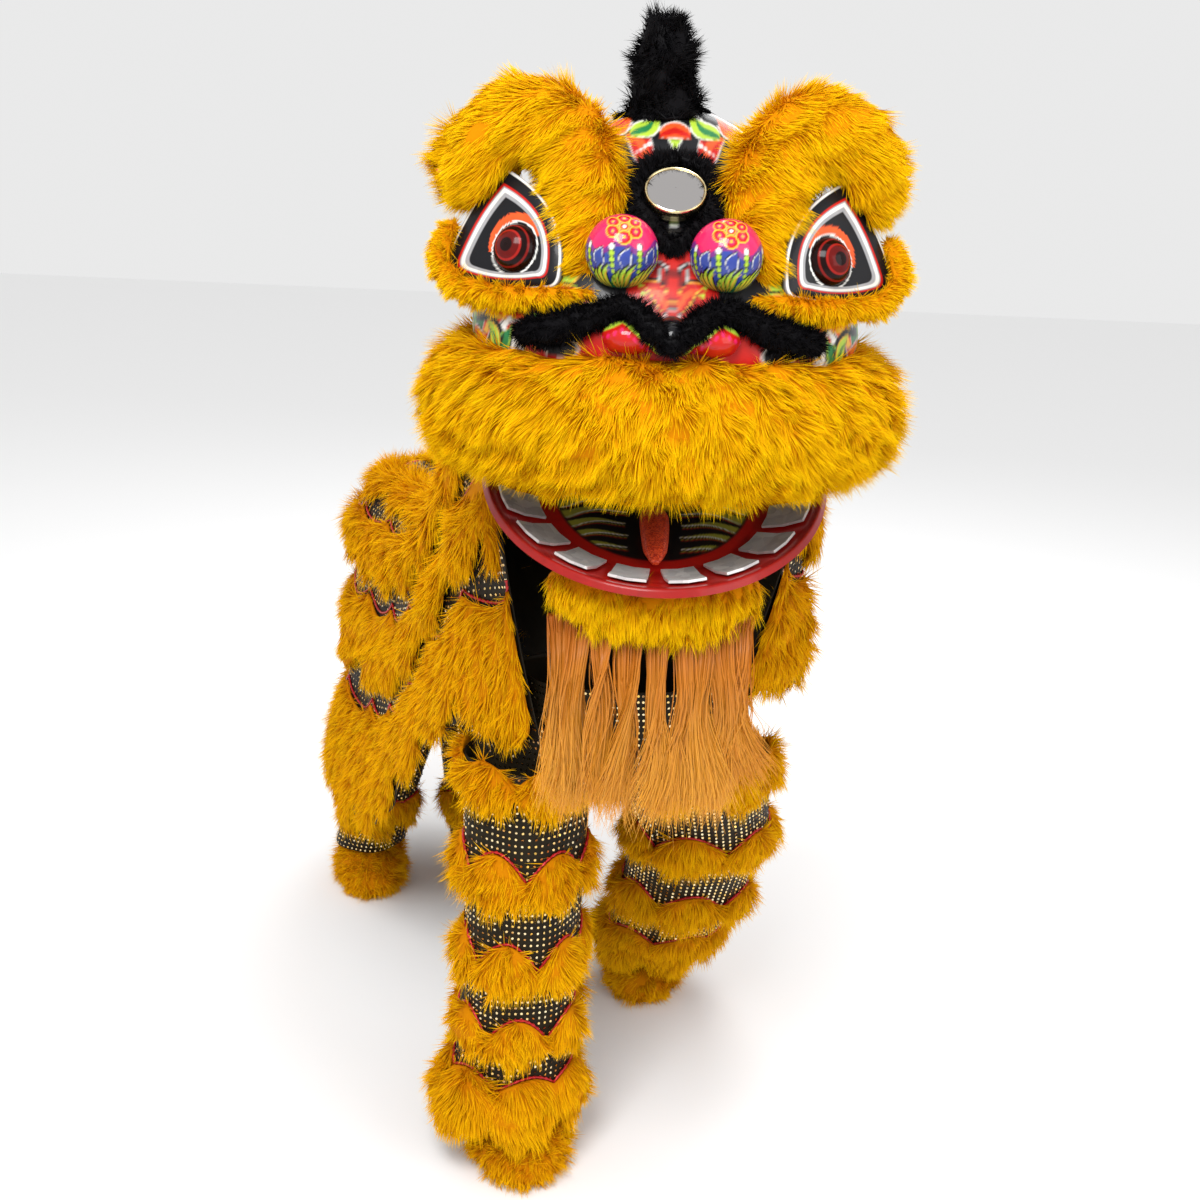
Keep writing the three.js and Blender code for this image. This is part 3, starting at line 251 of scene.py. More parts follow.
def drift(points, span, rng):
    """A smooth random vector field, about unit size: the sum of five sine waves about a span apart."""
    waves = rng.normal(size=(5, 3)) * TAU / span / 1.7
    phases = TAU * rng.random((5, 3))
    field = np.zeros_like(points)
    for wave, phase in zip(waves, phases):
        field += np.sin((points @ wave)[:, None] + phase)
    return field / 1.6


def strands(roots, normals, flow, rng, length, lift, width, span, sag=0.2, clump=0.3, mess=0.12, floor=None):
    """Tapered hairs, one triangle each: from the root to root + L d, lying with their faces outward.

    d mixes the normal, the flow along the surface, a smooth drift that gathers neighbours into locks, a
    small turn of each hair's own and some fall. L drifts the same way. Each hair carries tip, 0 at its
    root and 1 at its end, and tint, which drifts from lock to lock."""
    count = len(roots)
    along = flow - normals * np.sum(flow * normals, axis=1, keepdims=True)
    lean = clump * drift(roots, span, rng) + mess * rng.normal(size=(count, 3))
    aim = unit(normals * lift + along + lean + DOWN * sag)
    patch = drift(roots, span * 1.5, rng)
    size = length * (1 + 0.22 * np.clip(patch[:, :1], -1.5, 1.5)) * (0.65 + 0.5 * rng.random((count, 1)))
    across = np.cross(aim, normals + 0.45 * rng.normal(size=(count, 3)))
    across = unit(across) * width / 2 * (0.7 + 0.6 * rng.random((count, 1)))
    base = roots - 1.5 * normals
    points = np.stack([base - across, base + across, base + aim * size], 1).reshape(-1, 3)
    if floor is not None:
        points[:, 2] = np.maximum(points[:, 2], floor)
    tip = np.tile([0.0, 0.0, 1.0], count)
    tint = np.clip(0.5 + 0.24 * patch[:, 1] + 0.13 * rng.normal(size=count), 0, 1)
    return points, np.arange(3 * count).reshape(-1, 3), {"tip": tip, "tint": np.repeat(tint, 3)}


def furred(points, faces, skin, rng, per_cm2, flow, keep=None, **hairs):
    """A skin's points and faces, and hairs over its kept triangles, per_cm2 on each square centimetre."""
    sizes = face_sizes(points, skin, keep)
    count = max(20, int(sizes.sum() / 100 * per_cm2 * DENSITY))
    roots, normals = scatter(points, skin, sizes, count, rng)
    way = flow(roots) if callable(flow) else np.tile(np.asarray(flow, float), (count, 1))
    # the skin under the hairs takes nearly the root colour: painted shade between the hairs
    under = {"tip": np.full(len(points), 0.1), "tint": np.full(len(points), 0.5)}
    return [(points, faces, under), strands(roots, normals, way, rng, **hairs)]


def edges_of(triangles):
    return np.vstack([triangles[:, [0, 1]], triangles[:, [1, 2]], triangles[:, [2, 0]]])


def refine(points, triangles):
    """Each triangle split into four at the middles of its edges."""
    kept, back = np.unique(np.sort(edges_of(triangles), axis=1), axis=0, return_inverse=True)
    a, b, c = triangles.T
    ab, bc, ca = back.reshape(3, -1) + len(points)
    split = [np.column_stack(corner) for corner in ((a, ab, ca), (b, bc, ab), (c, ca, bc), (ab, bc, ca))]
    return np.vstack([points, points[kept].mean(1)]), np.vstack(split)


def relax(points, triangles, rounds, share=0.5):
    """Each point moved a share of the way to the mean of its neighbours, round after round."""
    edges = edges_of(triangles)
    for _ in range(rounds):
        total, count = np.zeros_like(points), np.zeros(len(points))
        for one, two in ((0, 1), (1, 0)):
            np.add.at(total, edges[:, one], points[edges[:, two]])
            np.add.at(count, edges[:, one], 1)
        points = points + share * (total / count[:, None] - points)
    return points


def smoothed(name, share=0.5):
    """A CAD node's own form, refined and relaxed three times."""
    points, triangles = node_surface(name)
    for _ in range(3):
        points, triangles = refine(points, triangles)
        points = relax(points, triangles, 1, share)
    return points, triangles


# Materials


def feed(tree, node, inputs):
    """Each input of a node given a value, a colour or another node's output."""
    for label, value in inputs.items():
        if isinstance(value, bpy.types.NodeSocket):
            tree.links.new(value, node.inputs[label])
        else:
            node.inputs[label].default_value = (*value, 1) if isinstance(value, tuple) else value


def add(tree, kind, inputs, **settings):
    """The outputs of a new shader node with its settings and inputs."""
    made = tree.nodes.new("ShaderNode" + kind)
    for label, value in settings.items():
        setattr(made, label, value)
    feed(tree, made, inputs)
    return made.outputs


def blend(tree, factor, low, high, way="MIX"):
    """A colour between two others."""
    inputs = {"Factor": factor, "A": low, "B": high}
    return add(tree, "Mix", inputs, data_type="RGBA", blend_type=way)["Result"]


def attribute(tree, name, output="Fac"):
    """A mesh's own attribute."""
    return add(tree, "Attribute", {}, attribute_name=name)[output]


def texture(tree, kind, output="Fac", **inputs):
    """A texture on Object coordinates."""
    place = add(tree, "TexCoord", {})["Object"]
    return add(tree, "Tex" + kind, {"Vector": place, **inputs})[output]


def bump(tree, height, strength, distance):
    return add(tree, "Bump", {"Height": height, "Strength": strength, "Distance": distance})["Normal"]


def node_group(name, inputs, outputs, build):
    """A node group with default inputs, whose outputs are what build(tree, inputs) works out."""
    group = bpy.data.node_groups.new(name, "ShaderNodeTree")
    for label, value in inputs.items():
        kind, value = ("Color", (*value, 1)) if isinstance(value, tuple) else ("Float", value)
        socket = group.interface.new_socket(label, in_out="INPUT", socket_type="NodeSocket" + kind)
        socket.default_value = value
    for label, kind in outputs.items():
        group.interface.new_socket(label, in_out="OUTPUT", socket_type="NodeSocket" + kind)
    results = build(group, group.nodes.new("NodeGroupInput").outputs)
    feed(group, group.nodes.new("NodeGroupOutput"), results)
    return group


def make_material(name, look):
    """A material whose Principled shader takes the inputs that look gives, or look(tree) works out."""
    material = bpy.data.materials.new(name)
    material.use_nodes = True
    tree = material.node_tree
    feed(tree, tree.nodes["Principled BSDF"], look(tree) if callable(look) else look)
    return material


def strand_colour(tree, given):
    """Colour from root to tip along a strand, warmed by its tint and by wide soft patches; the darker root is
    painted shade deep in the pile.
    """
    along = blend(tree, attribute(tree, "tip"), given["Root"], given["Tip"])
    patches = texture(tree, "Noise", Scale=14.0, Detail=3.0)
    patchy = add(tree, "Math", {0: patches, 1: 0.45}, operation="MULTIPLY")[0]
    tint = attribute(tree, "tint")
    shade = add(tree, "Math", {0: tint, 1: 0.55, 2: patchy}, operation="MULTIPLY_ADD")[0]
    return {"Color": blend(tree, given["Variation"], along, blend(tree, shade, along, given["Warm"]))}


STRAND_COLOUR = node_group(
    "strand_colour",
    {"Root": (0.5, 0.2, 0.0), "Tip": (0.9, 0.5, 0.0), "Warm": (0.8, 0.3, 0.0), "Variation": 0.5},
    {"Color": "Color"},
    strand_colour,
)


def fur_material(name, root, tip, warm, variation, roughness, gloss):
    def look(tree):
        inputs = {"Root": root, "Tip": tip, "Warm": warm, "Variation": variation}
        colour = add(tree, "Group", inputs, node_tree=STRAND_COLOUR)["Color"]
        return {"Base Color": colour, "Roughness": roughness, "Specular IOR Level": gloss}

    return make_material(name, look)


def hand_painted(tree, given):
    """Hand-painted unevenness: the paint a little darker in soft specks, with a low relief."""
    specks = texture(tree, "Noise", Scale=60.0, Detail=4.0)
    bounds = {"Value": specks, "From Min": 0.3, "From Max": 0.7, "To Min": 0.82, "To Max": 1.0}
    tone = add(tree, "MapRange", bounds)["Result"]
    return {
        "Color": blend(tree, 1.0, given["Paint"], tone, "MULTIPLY"),
        "Normal": bump(tree, specks, 0.12, 0.001),
    }


HAND_PAINTED = node_group(
    "hand_painted_lacquer",
    {"Paint": (0.5, 0.5, 0.5)},
    {"Color": "Color", "Normal": "Vector"},
    hand_painted,
)


def lacquer(name, roughness, gloss, specular=0.2):
    """Glossy paint in the piece's own paint attribute."""

    def look(tree):
        paint = attribute(tree, "paint", "Color")
        surface = add(tree, "Group", {"Paint": paint}, node_tree=HAND_PAINTED)
        return {
            "Base Color": surface["Color"],
            "Normal": surface["Normal"],
            "Roughness": roughness,
            "Coat Weight": gloss,
            "Coat Roughness": 0.06,
            "Specular IOR Level": specular,
        }

    return make_material(name, look)


def satin(tree):
    """Black cloth with a fine weave."""
    tone = blend(tree, texture(tree, "Noise", Scale=9.0), (0.006, 0.005, 0.004), (0.024, 0.017, 0.007))
    weave = texture(tree, "Wave", Scale=320.0, Distortion=1.0)
    return {
        "Base Color": tone,
        "Normal": bump(tree, weave, 0.2, 0.0005),
        "Roughness": 0.55,
        "Specular IOR Level": 0.12,
    }


def sequin_metal(tree):
    """Silver to gold, by each disc's tint."""
    tone = blend(tree, attribute(tree, "tint"), (0.86, 0.74, 0.48), (0.84, 0.50, 0.10))
    return {"Base Color": tone, "Roughness": 0.22, "Metallic": 1.0}


def glitter(name, low, high, grain, metal=0.35):
    """Glitter: small random flakes of tone, with a bump that tilts each one."""

    def look(tree):
        flakes = texture(tree, "Voronoi", "Color", Scale=grain)
        single = add(tree, "SeparateColor", {"Color": flakes})
        return {
            "Base Color": blend(tree, single["Red"], low, high),
            "Normal": bump(tree, single["Green"], 0.6, 0.001),
            "Roughness": 0.32,
            "Metallic": metal,
        }

    return make_material(name, look)


def cane(tree):
    """Pale cane with darker patches."""
    tone = blend(tree, texture(tree, "Noise", Scale=40.0), (0.28, 0.15, 0.05), (0.55, 0.36, 0.16))
    return {"Base Color": tone, "Roughness": 0.55}


FURS = {
    # name: root (darker: painted shade deep in the pile), tip, warm, how much warm shows, roughness, gloss
    "yellow_pile_fur": ((0.46, 0.105, 0.0005), (0.95, 0.67, 0.001), (0.84, 0.37, 0.001), 0.45, 0.8, 0.04),
    # the yellow fur again, darker and more orange for the body and legs: painted shade, as the light falls
    # off lower down
    "shaded_yellow_pile_fur": ((0.38, 0.09, 0.0005), (0.98, 0.61, 0.001), (0.80, 0.31, 0.001), 0.55, 0.8, 0.04),
    "black_pile_fur": ((0.002, 0.002, 0.003), (0.006, 0.006, 0.007), (0.012, 0.010, 0.010), 0.4, 0.5, 0.04),
    # the beard's dark root colour, at its top, is painted shade under the chin fur
    "beard_hair": ((0.30, 0.062, 0.002), (0.86, 0.43, 0.038), (0.52, 0.15, 0.008), 0.8, 0.4, 0.3),
}

# Looks: a material and a slot name
FUR_SLOTS = ("yellow_fur", "yellow_fur", "black_fur", "beard_hair")
FUR_LOOKS = [(fur_material(name, *values), slot) for (name, values), slot in zip(FURS.items(), FUR_SLOTS)]
# the second look is the yellow fur with painted shade, for the blanket, spine, trousers and shoe covers
YELLOW, SHADED_YELLOW, BLACK, BEARD = FUR_LOOKS
LACQUER = lacquer("painted_lacquer", 0.3, 0.12)
EYE_GLOSS = lacquer("eye_lacquer", 0.16, 0.1, 0.1)
GLOSS = lacquer("glossy_eye_paint", 0.14, 0.3)
CLOTH = (make_material("black_satin_cloth", satin), "sequin_cloth")
SEQUIN = (make_material("gold_silver_sequin", sequin_metal), "sequin_cloth")
RED_GLITTER = glitter("red_glitter", (0.46, 0.010, 0.004), (0.98, 0.12, 0.035), 500.0, 0.0)
RED_CORD = glitter("red_edging", (0.35, 0.006, 0.008), (0.62, 0.02, 0.02), 260.0)
TONGUE_RED, EDGING_RED = ((material, "tongue_glitter") for material in (RED_GLITTER, RED_CORD))
SILVER_FOIL = glitter("silver_foil", (0.62, 0.62, 0.62), (0.88, 0.88, 0.86), 60.0)

# Blanket

BLANKET_STATIONS = [
    # x, y, top, half, arch, hem left, hem right, flare, lead, fan
    (0, 235.4, 1762, 276, 250, 1000, 872, -110, -95, 0),
    (-20, 330, 1640, 292, 220, 950, 840, 10, -60, 0),
    (-84, 470, 1420, 290, 190, 850, 720, 30, -20, 0),
    (-170, 640, 1246, 270, 165, 650, 550, 44, 0, 0),
    (-254, 820, 1176, 252, 155, 470, 400, 54, 0, 0),
    (-330, 990, 1152, 244, 150, 370, 326, 62, 0, 0),
    (-398, 1140, 1136, 246, 150, 310, 290, 66, 0, 12),
    (-440, 1236, 1114, 246, 150, 280, 275, 64, 0, 38),
    (-456, 1272, 1100, 240, 150, 270, 270, 58, 0, 66),
    (-460, 1284, 1096, 236, 150, 270, 270, 54, 0, 90),
]
BLANKET_TURN = 24
SHOULDER = 0.38
COLUMNS = 18
CLOTH_THICK = 2.5
BLANKET_LINES = (0, 0.15, 0.34, 0.54, 0.77, 1)
BLANKET_ROWS = (
    # line, tips, dips, loft, end loft, rise
    (1, 0.322, 0.27, 36, 22, 0.025),
    (2, 0.522, 0.46, 42, 24, 0.035),
    (3, 0.75, 0.67, 44, 26, 0.035),
    (4, 1.07, 1.012, 46, 28, 0.04),
)
PAST_HEM = 700
REAR_SEAM = 0.985
SKIN_SHORT_SHARE = 0.055
EDGING_STEP = 6.0
LONG_PILE = dict(width=2.7, clump=0.32, length=38)


def blanket_point(along, down, side):
    """A place on the blanket: an arch over the back, then a fall to the hem, fanned round the rump.

    Across the spine the reach is half sin(bend), and past the shoulder it flares and ripples."""
    stations = np.moveaxis(read_rows(BLANKET_STATIONS, along), -1, 0)
    x, y, top, half, arch, left, right, flare, lead, fan = stations
    heading = BLANKET_TURN * smoothstep(along, 0.15, 0.6) * (1 - fan / 90)
    turn = np.radians(heading + side * fan)
    bend = np.pi / 2 * np.clip(down / SHOULDER, 0, 1)
    fall = np.maximum(0, (down - SHOULDER) / (1 - SHOULDER))
    fold = 8 * np.cos(np.pi * COLUMNS * along) * fall * (1 - along**6)
    reach = half * np.sin(bend) + flare * fall**1.5 + fold
    hem = left if side > 0 else right
    z = top - arch * (1 - np.cos(bend)) - (top - arch - hem) * fall
    forward = lead * smoothstep(down, 0.05, 0.7)
    return np.stack([x + side * reach * np.cos(turn), y + side * reach * np.sin(turn) + forward, z], -1)


def blanket_off(along, down, side, out):
    """A place off the blanket along its outward normal, hanging straight down past the hem."""
    along, down, out = np.broadcast_arrays(*(np.asarray(v, float) for v in (along, down, out)))
    inside = np.minimum(down, 1)
    step = 0.01
    ahead = blanket_point(np.minimum(1, along + step), inside, side)
    behind = blanket_point(np.maximum(0, along - step), inside, side)
    low = blanket_point(along, np.minimum(1, inside + step), side)
    high = blanket_point(along, np.maximum(0, inside - step), side)
    normal = unit(np.cross(ahead - behind, low - high) * -side)
    point = blanket_point(along, inside, side) + normal * out[..., None]
    point[..., 2] -= np.maximum(0, down - 1) * PAST_HEM
    return point


def walled(outer, inner, wrap=False):
    """A closed wall between two grids of the same size: both faces and the edges between them."""
    rows, columns = outer.shape[:2]
    count = rows * columns
    points = np.concatenate([outer.reshape(-1, 3), inner.reshape(-1, 3)])
    front = grid_quads(rows, columns, wrap_columns=wrap)
    index = np.arange(count).reshape(rows, columns)
    rims = [index[0], index[-1][::-1]]
    if wrap:
        rims = [np.append(rim, rim[0]) for rim in rims]
    else:
        rims += [index[::-1, 0], index[:, -1]]
    edges = [np.stack([a[1:], a[:-1], a[:-1] + count, a[1:] + count], -1) for a in rims]
    return points, outward(points, np.vstack([front, front[:, ::-1] + count, *edges]))


def sequins(low, high, rng, radius=2.6, tilt=0.2):
    """Five-sided discs at the low places, each facing its high one and tilted a little."""
    count, sides = len(low), 5
    normals = unit(unit(high - low) + tilt * rng.normal(size=(count, 3)))
    side = unit(np.cross(normals, [0.3, 0.2, 1.0]))
    other = np.cross(normals, side)
    points = (low[:, None] + radius * circle(turns(sides), side[:, None], other[:, None])).reshape(-1, 3)
    start = sides * np.arange(count)[:, None]
    fan = np.vstack([start + np.array([0, k, k + 1]) for k in range(1, sides - 1)])
    return points, fan, {"tint": np.repeat(rng.random(count), sides)}


def edging(path, radius=2.8, bead=12.0):
    """A beaded red edging: a four-sided tube along an evenly read path, of radius r (1 + 0.32 cos)."""
    run = run_of(path)
    places = np.linspace(0, run[-1], max(8, int(run[-1] / EDGING_STEP)))
    path = np.stack([np.interp(places, run, path[:, k]) for k in range(3)], -1)
    step = np.roll(path, -1, 0) - np.roll(path, 1, 0)
    step[0], step[-1] = path[1] - path[0], path[-1] - path[-2]
    way = unit(step)
    side = unit(np.cross(way, [0.2, 0.1, 1.0]))
    size = radius * (1 + 0.32 * np.cos(TAU * run_of(path) / bead))
    ring = circle(turns(4), side[:, None], np.cross(way, side)[:, None])
    return *wrapped(path[:, None] + size[:, None, None] * ring), {}


def tipness(phase):
    """0 at even phases and 1 at odd ones, rounded at the tips and sharp between them."""
    return np.abs(np.sin(np.pi * phase / 2)) ** 0.8


def lappet_edges(row, along):
    """The sewn edge and the skin's lower edge of a row of lappets, as shares of the way down."""
    line, tips, dips, _, _, rise = row
    tip = tipness(along * COLUMNS + line)
    end = dips - SKIN_SHORT_SHARE - 0.03 + (tips - dips + 0.03) * tip
    return BLANKET_LINES[line] - rise * (1 - tip), end


def lappet_surface(row, side):
    """The skin of a row of lappets, short of its hairs' ends: across it the outer face bulges from the
    sewn edge to the tips and the inner face runs back close to the cloth; along it they follow the tips."""
    line, _, _, loft, end_loft, _ = row
    along = np.linspace(0.004, REAR_SEAM - 0.004, 181)[:, None]
    tip = tipness(along * COLUMNS + line)
    s = np.linspace(0, 1, 7)
    top, end = lappet_edges(row, along)
    down = top + (end - top) * s
    swell = np.sin(np.pi * np.minimum(1, s * 0.93 + 0.04)) ** 0.6
    out = 4 + 0.5 * (loft - 5) * swell * (0.55 + 0.45 * tip) + 0.4 * end_loft * s * (0.5 + 0.5 * tip)
    outer = blanket_off(along, down, side, out)
    return outer, blanket_off(along, down, side, np.minimum(out - 3, 3 + 6 * s))


def blanket_cloth():
    """The cloth's outer and inner faces, from the right hem over the spine to the left hem."""
    along, down = np.linspace(0, 1, 121)[:, None], np.linspace(0, 1, 31)
    faces = []
    for out in (0.0, -CLOTH_THICK):
        right, left = (blanket_off(along, down, side, out) for side in (-1, 1))
        faces.append(np.concatenate([right[:, :0:-1], left], 1))
    return walled(*faces)


def blanket_discs(side, rng):
    """Sequins in rows over one side of the cloth, wherever no lappet covers it."""
    a, d = np.meshgrid(np.linspace(0.005, 0.99, 116), np.linspace(0.03, 0.985, 76), indexing="ij")
    bare = np.ones(a.shape, bool)
    for row in BLANKET_ROWS:
        top, end = lappet_edges(row, a)
        bare &= (d < top + 0.01) | (d > end)
    return sequins(*(blanket_off(a[bare], d[bare], side, out) for out in (1.2, 3.0)), rng)


def blanket():
    """The sequined cloth, its fur rows and their red edging."""
    rng = np.random.default_rng(11)
    cloth = make_piece("blanket_cloth_sheet", [(*blanket_cloth(), {})], CLOTH, replaces="blanket_cloth")
    discs = [blanket_discs(side, rng) for side, _ in SIDES]
    sewn_on = [make_piece("blanket_sequins", discs, SEQUIN)]
    cords = []
    for side, word in SIDES:
        for index, row in enumerate(BLANKET_ROWS):
            outer, inner = lappet_surface(row, side)
            points, faces = walled(outer, inner)
            front = len(grid_quads(*outer.shape[:2]))
            skin = triangles_of(np.vstack([faces[:front], faces[2 * front :]]))
            parts = furred(points, faces, skin, rng, 6.4, DOWN, lift=0.4, sag=0.1, span=36, **LONG_PILE)
            node = f"blanket_fur_{word}_{index + 1}"
            sewn_on.append(make_piece(node + "_pile", parts, SHADED_YELLOW, replaces=node))
            a = np.linspace(0, REAR_SEAM, 400)
            cords.append(edging(blanket_off(a, lappet_edges(row, a)[0] - 0.012, side, 2.5)))
    sewn_on.append(make_piece("blanket_edging", cords, EDGING_RED))
    sewn_on.append(coat_node("blanket_fur_spine", "spine_pile", SHADED_YELLOW, (-0.25, 0.7, -0.15), 6.4, 12,
                             keep=lambda middle, normal: normal[:, 2] > -0.15, inset=9, lift=0.6, span=34,
                             **LONG_PILE))


# Trousers

FRONT_LEFT_LEG = [
    # z, x, y, across, deep, hair, loft, tips, rise
    (112, 78, 762, 116, 118, 0, 0, 0, 0),
    (200, 104, 700, 122, 120, 140, 44, 40, 30),
    (360, 138, 592, 130, 122, 116, 46, 28, 34),
    (560, 150, 466, 138, 124, 110, 46, 28, 34),
    (800, 110, 304, 138, 124, 146, 46, 26, 12),
]
FRONT_RIGHT_LEG = [
    (108, -222, 168, 122, 118, 0, 0, 0, 0),
    (190, -206, 170, 110, 110, 132, 50, 54, 28),
    (310, -200, 172, 107, 106, 92, 38, 26, 30),
    (456, -198, 180, 107, 108, 104, 40, 26, 34),
    (626, -198, 204, 110, 110, 108, 40, 26, 30),
    (800, -194, 254, 118, 114, 112, 42, 26, 12),
]
FRONT_WAIST = [
    # z, x, y, across, deep
    (752, -43, 275, 268, 118),
    (836, -43, 273, 252, 122),
    (900, -38, 269, 216, 118),
    (960, -36, 267, 184, 112),
]
REAR_LEFT_LEG = [
    (112, -350, 1262, 88.9, 98.2, 0, 0, 0, 0),
    (250, -354, 1240, 94, 96, 124, 30, 20, 12),
    (460, -372, 1214, 94, 98, 0, 0, 0, 0),
    (690, -404, 1180, 98, 104, 0, 0, 0, 0),
]
REAR_RIGHT_LEG = [
    (112, -643, 1214, 88.8, 99.6, 0, 0, 0, 0),
    (250, -608, 1190, 84, 92, 124, 26, 16, 12),
    (460, -546, 1168, 90, 96, 0, 0, 0, 0),
    (690, -486, 1164, 96, 104, 0, 0, 0, 0),
]
REAR_WAIST = [
    (640, -446, 1168, 146, 108),
    (740, -444, 1166, 150, 112),
    (860, -436, 1152, 142, 106),
]
LEG_TIPS = 6
LOBE_TURN = 0.45
LOBE_DIP = 20
SKIN_SHORT = 44
SEQUIN_STEP = 11.5
TIER_PILE = dict(length=36, lift=0.46, sag=0.1, width=2.6, span=30, clump=0.32, floor=1.0)


def leg_point(rows, z, turn, out):
    """A place on a leg or waist: an oval ring at a height read from its table, waved by its folds."""
    rows = np.asarray(rows, float)
    z, turn, out = np.broadcast_arrays(*(np.asarray(v, float) for v in (z, turn, out)))
    level = np.interp(z, rows[:, 0], np.arange(len(rows)))
    x, y, across, deep = (np.interp(z, rows[:, 0], rows[:, k]) for k in (1, 2, 3, 4))
    wave = 1 + 0.03 * np.sin(5 * turn + 1.7 * level)
    return np.stack([x + (across * wave + out) * np.sin(turn), y - (deep * wave + out) * np.cos(turn), z], -1)


def tube(rows):
    """A leg's or waist's cloth wall, from its lowest row to its highest."""
    z = np.linspace(rows[0][0], rows[-1][0], 24)[:, None]
    return walled(*(leg_point(rows, z, turns(72), out) for out in (0.0, -CLOTH_THICK)), wrap=True)


def waist_floor(rows):
    """The bottom of a waist between its legs: its lowest ring drawn in to its middle, 10 mm lower there."""
    share = np.linspace(1, 0.02, 8)[:, None]
    z, x, y = rows[0][:3]
    middle = np.array([x, y, z])
    sheet = middle + (leg_point(rows, z, turns(96), 0.0) - middle) * share[..., None]
    sheet[..., 2] -= 10 * (1 - share**2)
    return walled(sheet, sheet + CLOTH_THICK * DOWN, wrap=True)


def tier_edges(rows, level, turn):
    """The top and the skin's lower edge of a ring of fur, as heights, with its lobes turned by the level."""
    hair, rise = rows[level][5], rows[level][8]
    tip = tipness(turn * LEG_TIPS / np.pi + LOBE_TURN * level)
    top = rows[level][0] + rise * tip - LOBE_DIP * (1 - tip) * (level > 1)
    return top, rows[level][0] - (hair - SKIN_SHORT) * (0.55 + 0.45 * tip), tip


def leg_slant(rows, z):
    """How far the leg's centre line has moved on where it is carried past its lowest row."""
    (z0, x0, y0), (z1, x1, y1) = rows[0][:3], rows[1][:3]
    past = np.maximum(0, z0 - z)[..., None]
    return past * np.array([x0 - x1, y0 - y1]) / (z1 - z0)


def tier_surface(rows, level):
    """The skin of a ring of fur round a leg, with a scalloped top, a bulge and lobes at its lower end.

    Its columns run down the outer face and back up the inner one."""
    loft, tips = rows[level][6:8]
    turn = turns(96)[:, None]
    s = np.linspace(0, 1, 6)
    top, end, tip = tier_edges(rows, level, turn)
    z = top + (end - top) * s
    swell = np.sin(np.pi * np.minimum(1, s * 0.9 + 0.05)) ** 0.6
    out = 4 + 0.5 * (loft - 8) * swell * (0.6 + 0.4 * tip) + 0.35 * (tips - 12) * s
    outer = leg_point(rows, z, turn, out)
    inner = leg_point(rows, np.maximum(z, rows[0][0]), turn, np.minimum(out - 3, 2.5 + 0.2 * (tips - 6) * s))
    inner[..., 2] = outer[..., 2]
    for face in (outer, inner):
        face[..., :2] += leg_slant(rows, z)
    return np.concatenate([outer, inner[:, ::-1]], 1)


def furry_levels(rows):
    """The levels of a leg that have a ring of fur: a waist has none."""
    return [level for level, row in enumerate(rows) if len(row) > 5 and row[5] > 0]


def leg_discs(rows, sequins_to, rng):
    """Sequins in rings up a leg or waist, wherever no ring of fur covers it."""
    z = np.arange(rows[0][0] + 6, rows[-1][0], SEQUIN_STEP)
    around = int(TAU * rows[1][3] / SEQUIN_STEP)
    turn, z = (grid.reshape(-1) for grid in np.meshgrid(turns(around), z))
    bare = z < sequins_to
    for level in furry_levels(rows):
        top, end, _ = tier_edges(rows, level, turn)
        bare &= (z > top - 4) | (z < end)
    return sequins(*(leg_point(rows, z[bare], turn[bare], out) for out in (1.4, 5.0)), rng)


def garment(word, legs, waist, seed, sequins_to):
    """A pair of trousers: sequined cloth, tiers of fur and their red edging."""
    rng = np.random.default_rng(seed)
    name = word + "_trousers"
    walls = [tube(rows) for rows in (*legs, waist)] + [waist_floor(waist)]
    cloth = make_piece(name + "_cloth", [(*wall, {}) for wall in walls], CLOTH, replaces=name)
    discs = [leg_discs(rows, sequins_to, rng) for rows in (*legs, waist)]
    sewn_on = [make_piece(name + "_sequins", discs, SEQUIN)]
    cords = []
    for rows, (_, side) in zip(legs, SIDES):
        tiers = furry_levels(rows)[::-1]
        for index, level in enumerate(tiers):
            ring = tier_surface(rows, level)
            points, faces = wrapped(ring, wrap_rows=True)
            across = ring.shape[1]
            outer_face = np.r_[-1, 0 : across // 2]
            quads = faces.reshape(-1, across, 4)[:, outer_face].reshape(-1, 4)
            parts = furred(points, faces, triangles_of(quads), rng, 8.6, DOWN, **TIER_PILE)
            node = f"{word}_{side}_fur" + (f"_{index + 1}" if len(tiers) > 1 else "")
            sewn_on.append(make_piece(node + "_pile", parts, SHADED_YELLOW, replaces=node))
            turn = np.linspace(0, TAU, 240)
            top = tier_edges(rows, level, turn)[0] + 3
            if top.max() < waist[0][0]:
                cords.append(edging(leg_point(rows, top, turn, 2.5)))
    sewn_on.append(make_piece(name + "_edging", cords, EDGING_RED))

# Head

HEAD_MIDDLE = np.array([0.0, 0.0, 1640.0])
EYE_AT = np.array([226.0, -140.0, 1747.0])
MIRROR_AT = np.array([0.0, -133.0, 1819.0])


def from_head(middle, normal):
    """Where a face looks away from the middle of the head."""
    return np.sum(unit(middle - HEAD_MIDDLE) * normal, axis=1) > -0.25


def coat_node(node, name, look, flow, per_cm2, seed, body="costume", keep=None, inset=0, reshape=None,
              **hairs):
    """A CAD node's own form, softened and drawn in, as the skin of a coat of hairs over it."""
    rng = np.random.default_rng(seed)
    points, triangles = refine(*node_surface(node))
    points = relax(points, triangles, 2)
    points = points - inset * vertex_normals(points, triangles)
    if reshape:
        points = reshape(points, vertex_normals(points, triangles))
    parts = furred(points, triangles, triangles, rng, per_cm2, flow, keep, **hairs)
    return make_piece(name, parts, look, body=body, replaces=node)


def away_from(middle, down):
    """A flow away from a place, with some fall."""
    return lambda roots: unit(roots - middle) + DOWN * down


